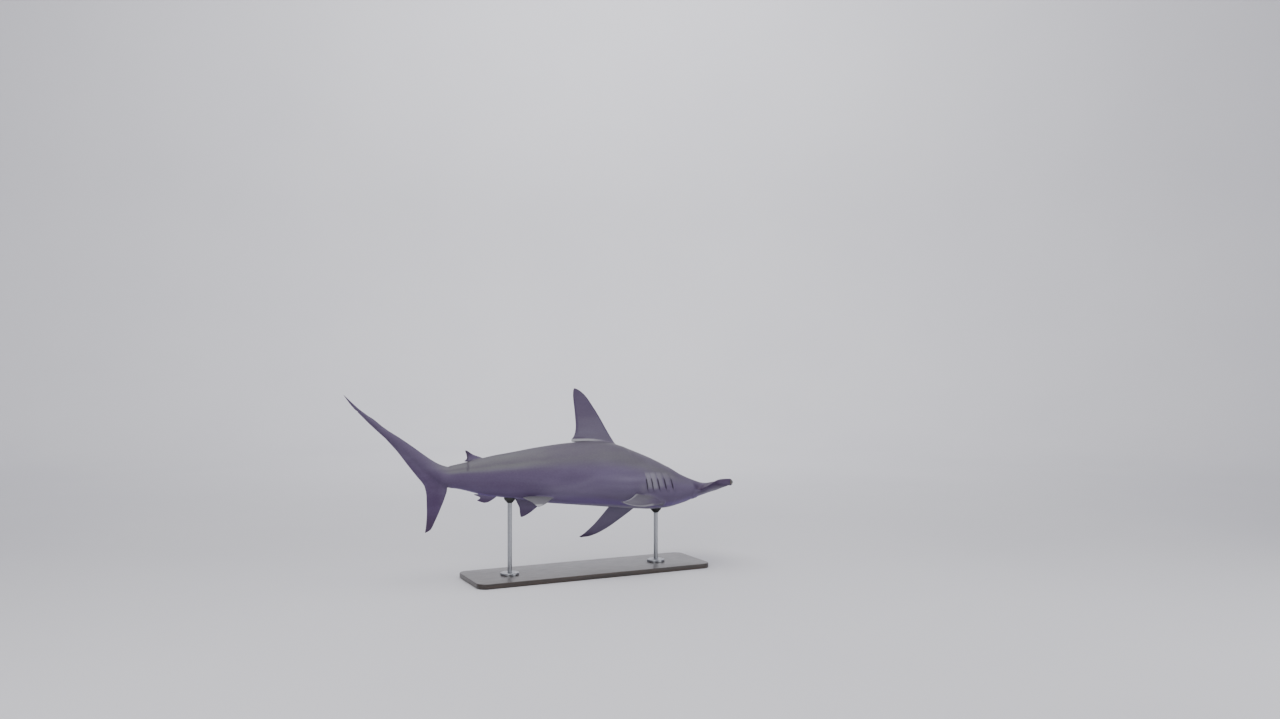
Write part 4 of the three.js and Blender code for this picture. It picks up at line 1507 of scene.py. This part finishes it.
class FineGrain(Effect):
    """A short fine texture, as of skin teeth, cast rubber or lacquer."""

    title = "fine grain"
    sockets_in = {
        "Place": ("NodeSocketVector", None),
        "Scale": ("NodeSocketFloat", 400.0),
        "Softness": ("NodeSocketFloat", 0.5),
    }
    sockets_out = {"Height": "NodeSocketFloat", "Fleck": "NodeSocketFloat"}

    def fill(self, board: Board, given: bpy.types.NodeOutputs) -> dict[str, bpy.types.NodeSocket]:
        """Small cells mixed with noise of the same scale."""
        cells = board.add("TexVoronoi", {"Vector": given["Place"], "Scale": given["Scale"]})
        noise = board.add("TexNoise", {"Vector": given["Place"], "Scale": given["Scale"], "Detail": 3.0})
        mixed = board.add("Mix", {0: given["Softness"], 2: cells.outputs["Distance"], 3: noise.outputs["Fac"]})
        fleck = board.spread(noise.outputs["Fac"], 0.6, 0.72, 0.0, 1.0)
        return {"Height": mixed.outputs[0], "Fleck": fleck}


class SlowDrift(Effect):
    """Broad soft changes, drawn out along one axis, that break up an even colour."""

    title = "slow drift"
    sockets_in = {
        "Place": ("NodeSocketVector", None),
        "Stretch": ("NodeSocketVector", (1.0, 1.0, 1.0)),
        "Scale": ("NodeSocketFloat", 6.0),
        "Bend": ("NodeSocketFloat", 0.4),
    }
    sockets_out = {"Amount": "NodeSocketFloat", "Streak": "NodeSocketFloat"}

    def fill(self, board: Board, given: bpy.types.NodeOutputs) -> dict[str, bpy.types.NodeSocket]:
        """A broad noise and a finer one of the same stretch."""
        drawn = board.add("VectorMath", {0: given["Place"], 1: given["Stretch"]}, operation="MULTIPLY")
        inputs = {"Vector": drawn.outputs[0], "Scale": given["Scale"], "Detail": 4.0, "Distortion": given["Bend"]}
        broad = board.add("TexNoise", inputs)
        finer = board.math("MULTIPLY", given["Scale"], 4.3)
        fine = board.add("TexNoise", {"Vector": drawn.outputs[0], "Scale": finer, "Detail": 5.0})
        return {"Amount": broad.outputs["Fac"], "Streak": fine.outputs["Fac"]}


GRAIN = FineGrain()
DRIFT = SlowDrift()


def new_material(name: str) -> tuple[bpy.types.Material, Board, bpy.types.Node]:
    """An empty material with its shader.

    Args:
        name: The material's name.

    Returns:
        The material, its board and its Principled BSDF.
    """
    material = bpy.data.materials.new(name)
    material.use_nodes = True
    material.node_tree.nodes.clear()
    board = Board(material.node_tree)
    shader = board.add("BsdfPrincipled")
    board.add("OutputMaterial", {"Surface": shader.outputs[0]})
    return material, board, shader


def set_plain(shader: bpy.types.Node, **values: float) -> None:
    """Sets values on the shader's own sockets, with a space for each underscore."""
    for name, value in values.items():
        shader.inputs[name.replace("_", " ")].default_value = value


@dataclass(frozen=True)
class HideFinish:
    """Matt shark skin: olive grey above, mauve grey below as painted shade over the pale underside, with the painted
    fields.
    """

    light: tuple = colour(112, 105, 127)
    dark: tuple = colour(59, 41, 74)
    olive: tuple = colour(110, 114, 107)
    # The next two colours are the pale underside painted darker, mauve grey and a lighter grey at the belly's
    # middle: painted shade
    shaded_underside: tuple = colour(103, 88, 131)
    belly: tuple = colour(122, 114, 136)
    dusk: tuple = colour(53, 35, 64)
    # The next three colours are the painted highlight, the painted light on the gill flaps, and the painted shade in
    # the slits and the pit, which also draws the flank's thin dark line
    pale: tuple = colour(152, 151, 155)
    cream: tuple = colour(116, 113, 123)
    slit: tuple = colour(54, 45, 62)
    pore: tuple = colour(46, 38, 54)
    roughness: float = 0.52

    def build(self) -> bpy.types.Material:
        """The material for the whole skin."""
        material, board, shader = new_material("hide")
        place = board.add("Attribute", attribute_name="place", attribute_type="GEOMETRY").outputs["Vector"]
        drift = DRIFT.place(board, Place=place, Stretch=(0.45, 1.0, 1.6), Scale=5.0, Bend=0.5)
        mottle = DRIFT.place(board, Place=place, Stretch=(0.8, 1.0, 1.1), Scale=26.0, Bend=0.2)
        grain = GRAIN.place(board, Place=place, Scale=620.0, Softness=0.35)
        brush = DRIFT.place(board, Place=place, Stretch=(0.16, 1.0, 1.0), Scale=17.0, Bend=0.3)
        shift = board.spread(drift["Amount"], 0.3, 0.7, -0.05, 0.05)
        streak = board.spread(brush["Amount"], 0.3, 0.7, -0.055, 0.055)
        shift_fine = board.math("ADD", streak, board.spread(mottle["Streak"], 0.3, 0.7, -0.04, 0.04))
        tone = board.math("ADD", board.field("tone"), board.math("ADD", shift, shift_fine))
        base = board.blend(tone, self.dark, self.light)
        tint = board.blend(tone, self.dark, self.olive)
        base = board.blend(board.field("olive"), base, tint)
        # The underside is painted mauve grey, then a paler grey at the belly's middle: painted shade over the pale
        # underside
        ragged = board.math("ADD", board.field("underside"), shift)
        base = board.blend(board.spread(ragged, 0.0, 0.6, 0.0, 1.0), base, self.shaded_underside)
        base = board.blend(board.spread(ragged, 0.6, 1.0, 0.0, 1.0), base, self.belly)
        base = board.blend(board.field("dusk"), base, self.dusk)
        # Painted light on the gill flaps, painted highlights, then painted shade in the slits and the pit
        base = board.blend(board.math("MULTIPLY", board.field("cream"), 0.8), base, self.cream)
        base = board.blend(board.field("pale"), base, self.pale)
        base = board.blend(board.field("slit"), base, self.slit)
        dots = board.add("TexVoronoi", {"Vector": place, "Scale": 125.0, "Randomness": 1.0})
        dot = board.spread(dots.outputs["Distance"], 0.1, 0.18, 1.0, 0.0)
        pores = board.math("MULTIPLY", dot, board.field("pores"))
        base = board.blend(board.math("MULTIPLY", pores, 0.75), base, self.pore)
        rough = board.spread(grain["Height"], 0.1, 0.7, self.roughness - 0.07, self.roughness + 0.08)
        relief = board.math("SUBTRACT", grain["Height"], board.math("MULTIPLY", pores, 1.2))
        fine = board.add("Bump", {"Strength": 0.16, "Distance": 0.0006, "Height": relief})
        folds = board.add(
            "Bump",
            {"Strength": 0.12, "Distance": 0.004, "Height": mottle["Amount"], "Normal": fine.outputs[0]},
        )
        for name, socket in (("Base Color", base), ("Roughness", rough), ("Normal", folds.outputs[0])):
            board.tree.links.new(socket, shader.inputs[name])
        set_plain(shader, Specular_IOR_Level=0.35)
        return material


@dataclass(frozen=True)
class EyeFinish:
    """A dark wet eye with a bronze iris round a black pupil."""

    pupil: tuple = colour(6, 6, 7)
    iris: tuple = colour(74, 62, 44)
    rim: tuple = colour(22, 20, 20)

    def build(self) -> bpy.types.Material:
        """The material, which reads each point's angle from the gaze."""
        material, board, shader = new_material("eye")
        angle = board.field("gaze")
        place = board.add("Attribute", attribute_name="place", attribute_type="GEOMETRY").outputs["Vector"]
        grain = GRAIN.place(board, Place=place, Scale=900.0, Softness=0.8)
        iris = board.blend(board.spread(grain["Height"], 0.3, 0.7, 0.0, 0.6), self.iris, self.rim)
        base = board.blend(board.spread(angle, 0.5, 0.56, 0.0, 1.0), self.pupil, iris)
        base = board.blend(board.spread(angle, 0.92, 1.05, 0.0, 1.0), base, self.rim)
        board.tree.links.new(base, shader.inputs["Base Color"])
        set_plain(shader, Roughness=0.12, Coat_Weight=1.0, Coat_Roughness=0.03)
        return material


@dataclass(frozen=True)
class WoodFinish:
    """Dark stained wood under satin lacquer."""

    dark: tuple = colour(30, 24, 21)
    light: tuple = colour(58, 44, 35)

    def build(self) -> bpy.types.Material:
        """The base's material."""
        material, board, shader = new_material("stained wood")
        place = board.add("TexCoord").outputs["Object"]
        figure = DRIFT.place(board, Place=place, Stretch=(1.0, 14.0, 14.0), Scale=3.2, Bend=0.9)
        pores = GRAIN.place(board, Place=place, Scale=260.0, Softness=0.7)
        base = board.blend(board.spread(figure["Amount"], 0.3, 0.7, 0.0, 1.0), self.dark, self.light)
        streak = board.spread(figure["Streak"], 0.42, 0.62, 0.0, 0.55)
        base = board.blend(streak, base, self.dark)
        rough = board.spread(figure["Streak"], 0.3, 0.7, 0.3, 0.42)
        bump = board.add("Bump", {"Strength": 0.08, "Distance": 0.0008, "Height": pores["Height"]})
        for name, socket in (("Base Color", base), ("Roughness", rough), ("Normal", bump.outputs[0])):
            board.tree.links.new(socket, shader.inputs[name])
        set_plain(shader, Coat_Weight=0.35, Coat_Roughness=0.18)
        return material


@dataclass(frozen=True)
class SteelFinish:
    """Brushed steel, with the brush marks along one axis."""

    name: str
    stretch: tuple[float, float, float]
    light: tuple = colour(178, 180, 184)
    dark: tuple = colour(140, 142, 147)

    def build(self) -> bpy.types.Material:
        """The material for rods, flanges or screws."""
        material, board, shader = new_material(self.name)
        place = board.add("TexCoord").outputs["Object"]
        brush = DRIFT.place(board, Place=place, Stretch=self.stretch, Scale=60.0, Bend=0.0)
        base = board.blend(board.spread(brush["Streak"], 0.35, 0.65, 0.0, 1.0), self.dark, self.light)
        rough = board.spread(brush["Streak"], 0.3, 0.7, 0.26, 0.4)
        bump = board.add("Bump", {"Strength": 0.06, "Distance": 0.0004, "Height": brush["Streak"]})
        for name, socket in (("Base Color", base), ("Roughness", rough), ("Normal", bump.outputs[0])):
            board.tree.links.new(socket, shader.inputs[name])
        set_plain(shader, Metallic=1.0)
        return material


@dataclass(frozen=True)
class RubberFinish:
    """Matt black rubber with a fine cast texture."""

    dark: tuple = colour(24, 24, 25)
    light: tuple = colour(44, 44, 45)

    def build(self) -> bpy.types.Material:
        """The saddles' material."""
        material, board, shader = new_material("rubber")
        place = board.add("TexCoord").outputs["Object"]
        grain = GRAIN.place(board, Place=place, Scale=500.0, Softness=0.5)
        drift = DRIFT.place(board, Place=place, Stretch=(1.0, 1.0, 1.0), Scale=22.0, Bend=0.3)
        base = board.blend(board.spread(drift["Amount"], 0.3, 0.7, 0.0, 1.0), self.dark, self.light)
        rough = board.spread(drift["Streak"], 0.3, 0.7, 0.62, 0.78)
        bump = board.add("Bump", {"Strength": 0.2, "Distance": 0.0005, "Height": grain["Height"]})
        for name, socket in (("Base Color", base), ("Roughness", rough), ("Normal", bump.outputs[0])):
            board.tree.links.new(socket, shader.inputs[name])
        return material


@dataclass(frozen=True)
class FloorFinish:
    """A plain pale studio floor."""

    pale: tuple = colour(214, 213, 216)
    deep: tuple = colour(205, 204, 209)

    def build(self) -> bpy.types.Material:
        """The floor's material."""
        material, board, shader = new_material("studio floor")
        place = board.add("TexCoord").outputs["Object"]
        drift = DRIFT.place(board, Place=place, Stretch=(1.0, 1.0, 1.0), Scale=0.5, Bend=0.2)
        base = board.blend(drift["Amount"], self.pale, self.deep)
        board.tree.links.new(base, shader.inputs["Base Color"])
        set_plain(shader, Roughness=0.7, Specular_IOR_Level=0.2)
        return material


# Eyes, stand and studio


def dress(obj: bpy.types.Object, material: bpy.types.Material, slot: str, *nodes: str) -> None:
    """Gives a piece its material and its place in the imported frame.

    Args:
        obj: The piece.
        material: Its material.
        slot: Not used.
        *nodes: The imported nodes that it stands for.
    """
    obj.data.materials.clear()
    obj.data.materials.append(material)
    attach(obj, BODY)
    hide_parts(*nodes)
    LOG.info("%s: %d faces", obj.name, len(obj.data.polygons))


def build_eye(eye: Eye, flank: Flank) -> bpy.types.Object:
    """One eyeball, with the angle from its gaze stored for its material."""
    obj = loft(f"eye_ball_{flank.name.lower()}", eye.ball_rings(flank, 0.0, 64))
    points, _ = read_mesh(obj)
    way = points - eye.centre(flank)
    way[:, 2] /= eye.flatness
    way /= np.linalg.norm(way, axis=1, keepdims=True) + 1e-9
    angle = np.arccos(np.clip(way @ eye.gaze(flank), -1, 1))
    layer = obj.data.attributes.new("gaze", "FLOAT", "POINT")
    layer.data.foreach_set("value", angle.astype(np.float32))
    place = obj.data.attributes.new("place", "FLOAT_VECTOR", "POINT")
    place.data.foreach_set("vector", (points * MM).astype(np.float32).ravel())
    obj.data.transform(pose())
    shade_smoothly(obj, 60)
    return obj


def turned(name: str, profile: list[tuple[float, float]], x: float, count: int) -> bpy.types.Object:
    """A turned solid about an upright axis.

    Args:
        name: The object's name.
        profile: Radius and height of each corner, from the bottom to the top.
        x: Where the axis stands.
        count: Points round it.

    Returns:
        The solid as an object.
    """
    turn = np.linspace(0, 2 * math.pi, count, endpoint=False)
    rings = [
        np.stack([x + r * np.cos(turn), r * np.sin(turn), np.full(count, z)], -1) for r, z in profile
    ]
    return loft(name, np.stack(rings))


@dataclass
class Stand:
    """A flat base, and two rods with a flange at the foot and a saddle at the top."""

    body: Body
    length: float = 1500.0
    width: float = 440.0
    height: float = 30.0
    corner: float = 60.0
    bevel: float = 4.0
    gap: float = 0.3
    rod_radius: float = 13.0
    flange_radius: float = 55.0
    flange_height: float = 12.0
    saddle_radius: float = 34.0
    saddle_height: float = 30.0
    rods: tuple[tuple[str, float], ...] = (("front", 430.0), ("rear", 1395.0))

    def base(self) -> bpy.types.Object:
        """The base, with rounded corners and softened edges."""
        steps = np.linspace(0, math.pi / 2, 24)
        rounding = np.linspace(0, math.pi / 2, 9)
        soft = self.bevel * (1 - np.cos(rounding))
        rise = self.bevel * (1 - np.sin(rounding))
        levels = [(inset, level) for inset, level in zip(soft[::-1], rise[::-1])]
        levels += [(inset, self.height - level) for inset, level in zip(soft, rise)]
        rings = []
        for inset, level in levels:
            ring = []
            for quarter, (east, north) in enumerate(((1, 1), (-1, 1), (-1, -1), (1, -1))):
                angle = steps + quarter * math.pi / 2
                x = east * (self.length / 2 - self.corner)
                y = north * (self.width / 2 - self.corner)
                reach = self.corner - inset
                ring.append(np.stack([x + reach * np.cos(angle), y + reach * np.sin(angle)], -1))
            flat = np.concatenate(ring)
            rings.append(np.hstack([flat, np.full((len(flat), 1), level)]))
        obj = loft("stand_board", np.stack(rings))
        shade_smoothly(obj, 30)
        return obj

    def belly_over(self, behind: float) -> tuple[float, float]:
        """Where a rod stands and how high the belly is over it."""
        x = HELD_BEHIND - behind
        drop = float(self.body.belly(behind)) * math.cos(BANK)
        return x, AXIS_HEIGHT + drop - x * math.sin(NOSE_DOWN)

    def flange(self, word: str, x: float) -> bpy.types.Object:
        """A flange with a softened rim and four sunk screw holes."""
        low, radius = self.height + self.gap, self.flange_radius
        top = low + self.flange_height
        bend = np.linspace(0, math.pi / 2, 8)
        rim = [(radius - 3 + 3 * math.cos(a), top - 3 + 3 * math.sin(a)) for a in bend]
        profile = [(radius - 0.6, low), (radius, low + 0.6), *rim, (30, top), (19, top + 0.0)]
        obj = turned(f"flange_{word}", profile, x, 96)
        for quarter in range(4):
            angle = math.pi / 4 + quarter * math.pi / 2
            hole = turned("hole", [(4.2, top - 6), (4.2, top - 3.4), (7.6, top + 0.1), (7.6, top + 2)], 0, 32)
            hole.location = ((x + 40 * math.cos(angle)) * MM, 40 * math.sin(angle) * MM, 0)
            bpy.context.view_layer.update()
            fuse(obj, hole, Fusion.CUT)
        shade_smoothly(obj, 28)
        return obj

    def screws(self, word: str, x: float) -> bpy.types.Object:
        """The four screws of a flange as one piece, each with a six-sided socket."""
        top = self.height + self.gap + self.flange_height
        whole = None
        for quarter in range(4):
            angle = math.pi / 4 + quarter * math.pi / 2
            profile = [(3.9, top - 5.6), (3.9, top - 3.6), (7.1, top - 0.3), (6.9, top - 0.15), (6.4, top)]
            head = turned(f"screws_{word}", profile, 0, 32)
            key = turned("key", [(2.4, top - 2.2), (2.4, top + 1)], 0, 6)
            fuse(head, key, Fusion.CUT)
            shift = ((x + 40 * math.cos(angle)) * MM, 40 * math.sin(angle) * MM, 0)
            head.data.transform(Matrix.Translation(shift))
            if whole is None:
                whole = head
            else:
                fuse(whole, head, Fusion.JOIN)
        shade_smoothly(whole, 28)
        return whole

    def saddle(self, word: str, x: float, top: float) -> bpy.types.Object:
        """A rubber cup cut to the belly."""
        low = top - self.saddle_height
        radius, foot = self.saddle_radius, self.rod_radius + 4
        waist = low + self.saddle_height * 0.7
        high = low + 3 * self.saddle_height
        profile = [(foot - 1.2, low), (foot, low + 1.2)]
        profile += [(foot + (radius - foot) * s, low + 1.2 + (waist - low - 1.2) * s) for s in (0.5, 0.96)]
        profile += [(radius, waist + 1.5), (radius, high)]
        obj = turned(f"saddle_{word}", profile, x, 72)
        places = np.arange(HELD_BEHIND - x - 90, HELD_BEHIND - x + 90, 6.0)
        belly = loft("belly", np.stack([self.body.ring(behind) for behind in places]))
        points, _ = read_mesh(belly)
        middle = self.body.middle(HELD_BEHIND - points[:, 0])
        away = points - spot(HELD_BEHIND - points[:, 0], 0, middle)
        away /= np.linalg.norm(away, axis=1, keepdims=True) + 1e-9
        write_points(belly, points + away * (2 * self.gap))
        belly.data.transform(pose())
        fuse(obj, belly, Fusion.CUT)
        keep_lowest(obj)
        shade_smoothly(obj, 35)
        return obj

    def build(self) -> None:
        """Makes and dresses every piece of the stand."""
        wood = WoodFinish().build()
        upright = SteelFinish("brushed rod", (8.0, 8.0, 0.4)).build()
        flat = SteelFinish("brushed flange", (6.0, 0.8, 6.0)).build()
        rubber = RubberFinish().build()
        dress(self.base(), wood, "base", "stand_base")
        for word, behind in self.rods:
            x, top = self.belly_over(behind)
            dress(self.flange(word, x), flat, "rod", f"stand_flange_{word}")
            screws = self.screws(word, x)
            screws.data.materials.append(flat)
            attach(screws, BODY)
            LOG.info("%s: %d faces", screws.name, len(screws.data.polygons))
            foot = self.height + self.flange_height + 2 * self.gap
            head = top - self.saddle_height - self.gap
            r = self.rod_radius
            profile = [(r - 1, foot), (r, foot + 1), (r, head - 1), (r - 1, head)]
            rod = turned(f"rod_{word}", profile, x, 64)
            shade_smoothly(rod, 30)
            dress(rod, upright, "rod", f"stand_rod_{word}")
            dress(self.saddle(word, x, top), rubber, "saddle", f"stand_saddle_{word}")


def keep_lowest(obj: bpy.types.Object) -> None:
    """Deletes every loose part of a mesh but the one that starts lowest."""
    work = bmesh.new()
    work.from_mesh(obj.data)
    parts = []
    left = set(work.verts)
    while left:
        part, reach = set(), [left.pop()]
        while reach:
            vertex = reach.pop()
            part.add(vertex)
            near = {edge.other_vert(vertex) for edge in vertex.link_edges} & left
            left -= near
            reach += near
        parts.append(part)
    parts.sort(key=lambda part: min(vertex.co.z for vertex in part))
    spare = [vertex for part in parts[1:] for vertex in part]
    bmesh.ops.delete(work, geom=spare, context="VERTS")
    work.to_mesh(obj.data)
    work.free()


@dataclass
class Studio:
    """A pale floor that curves up far away, soft lights and the camera."""

    flat_radius: float = 9.0
    bend_radius: float = 4.0
    wall_top: float = 10.5
    camera_place: tuple[float, float, float] = (-2.559, -5.984, 1.297)
    camera_way: tuple[float, float, float] = (0.4384, 0.8988, 0.0)
    field_of_view: float = 62.0

    def floor(self) -> None:
        """A round floor with a wall that rises from it in one bend."""
        turn = np.linspace(0, 2 * math.pi, 96, endpoint=False)
        bend = np.linspace(0, math.pi / 2, 24)
        profile = [(0.02, 0.0), (3.0, 0.0), (6.0, 0.0), (self.flat_radius, 0.0)]
        centre = self.flat_radius
        profile += [
            (centre + self.bend_radius * math.sin(a), self.bend_radius * (1 - math.cos(a)))
            for a in bend[1:]
        ]
        profile.append((centre + self.bend_radius, self.wall_top))
        rings = [np.stack([r * np.cos(turn), r * np.sin(turn), np.full(96, z)], -1) for r, z in profile]
        points = np.concatenate([*rings, [[0, 0, 0]]])
        number = np.arange(len(rings) * 96).reshape(len(rings), 96)
        here, after = number[:-1], number[1:]
        faces = np.stack([here, np.roll(here, -1, 1), np.roll(after, -1, 1), after], -1)
        faces = faces.reshape(-1, 4).tolist()
        middle = len(points) - 1
        faces += [[middle, int(a), int(b)] for a, b in zip(number[0], np.roll(number[0], -1))]
        mesh = bpy.data.meshes.new("floor")
        mesh.from_pydata(points.tolist(), [], faces)
        mesh.shade_smooth()
        obj = bpy.data.objects.new("floor", mesh)
        bpy.context.scene.collection.objects.link(obj)
        obj.data.materials.append(FloorFinish().build())

    def light(self, name: str, place: tuple, target: tuple, size: float, power: float, tint: tuple) -> None:
        """One soft square light.

        Args:
            name: Its name.
            place: Where it hangs.
            target: What it shines at.
            size: Its side length.
            power: Its strength in watts.
            tint: Its colour.
        """
        data = bpy.data.lights.new(name, "AREA")
        data.shape = "SQUARE"
        data.size = size
        data.energy = power
        data.color = tint
        obj = bpy.data.objects.new(name, data)
        obj.location = place
        way = Vector(target) - Vector(place)
        obj.rotation_mode = "QUATERNION"
        obj.rotation_quaternion = way.to_track_quat("-Z", "Y")
        bpy.context.scene.collection.objects.link(obj)

    def lights(self) -> None:
        """An overhead softbox, a wide key from the camera's left, a fill and a light for the wall."""
        aim = (-0.2, 0.0, 0.6)
        self.light("overhead", (-0.2, -0.6, 5.0), aim, 4.5, 160, (1.0, 1.0, 0.99))
        self.light("key", (-4.5, -5.0, 3.4), aim, 3.0, 180, (1.0, 1.0, 0.99))
        self.light("fill", (3.5, -5.0, 1.6), aim, 3.5, 110, (0.98, 0.99, 1.0))
        self.light("backdrop", (2.4, 4.9, 8.8), (8.0, 16.5, 2.0), 5.0, 900, (0.98, 0.99, 1.0))
        world = bpy.data.worlds.new("studio")
        world.use_nodes = True
        back = world.node_tree.nodes["Background"]
        back.inputs["Color"].default_value = (0.86, 0.87, 0.92, 1)
        back.inputs["Strength"].default_value = 0.95
        bpy.context.scene.world = world

    def camera(self) -> None:
        """The camera at the photo's viewing angle."""
        data = bpy.data.cameras.new("camera")
        data.sensor_width = 36.0
        data.lens = 18.0 / math.tan(math.radians(self.field_of_view / 2))
        data.clip_end = 60.0
        obj = bpy.data.objects.new("camera", data)
        obj.location = self.camera_place
        obj.rotation_mode = "QUATERNION"
        obj.rotation_quaternion = Vector(self.camera_way).to_track_quat("-Z", "Y")
        bpy.context.scene.collection.objects.link(obj)
        bpy.context.scene.camera = obj

    def build(self) -> None:
        """Sets up the floor, the lights and the camera."""
        self.floor()
        self.lights()
        self.camera()


HIDE_NODES = (
    "head",
    "gills",
    "trunk_front",
    "trunk_rear",
    "tail_stalk",
    "caudal_fin_upper",
    "caudal_fin_lower",
    "dorsal_fin_first",
    "dorsal_fin_second",
    "anal_fin",
    "pectoral_fin_left",
    "pectoral_fin_right",
    "pelvic_fin_left",
    "pelvic_fin_right",
)


def main() -> None:
    """Builds the shark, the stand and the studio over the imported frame."""
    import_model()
    body = Body()
    hide = Hide(body, Hammer(), Tail(), all_fins(body))
    dress(hide.build(), HideFinish().build(), "hide", *HIDE_NODES)
    eye_finish = EyeFinish().build()
    for flank in Flank:
        dress(build_eye(hide.eye, flank), eye_finish, "eye", f"eye_{flank.name.lower()}")
    Stand(body).build()
    Studio().build()


if __name__ == "__main__":
    logging.basicConfig(level=logging.INFO, format="%(name)s %(message)s")
    main()
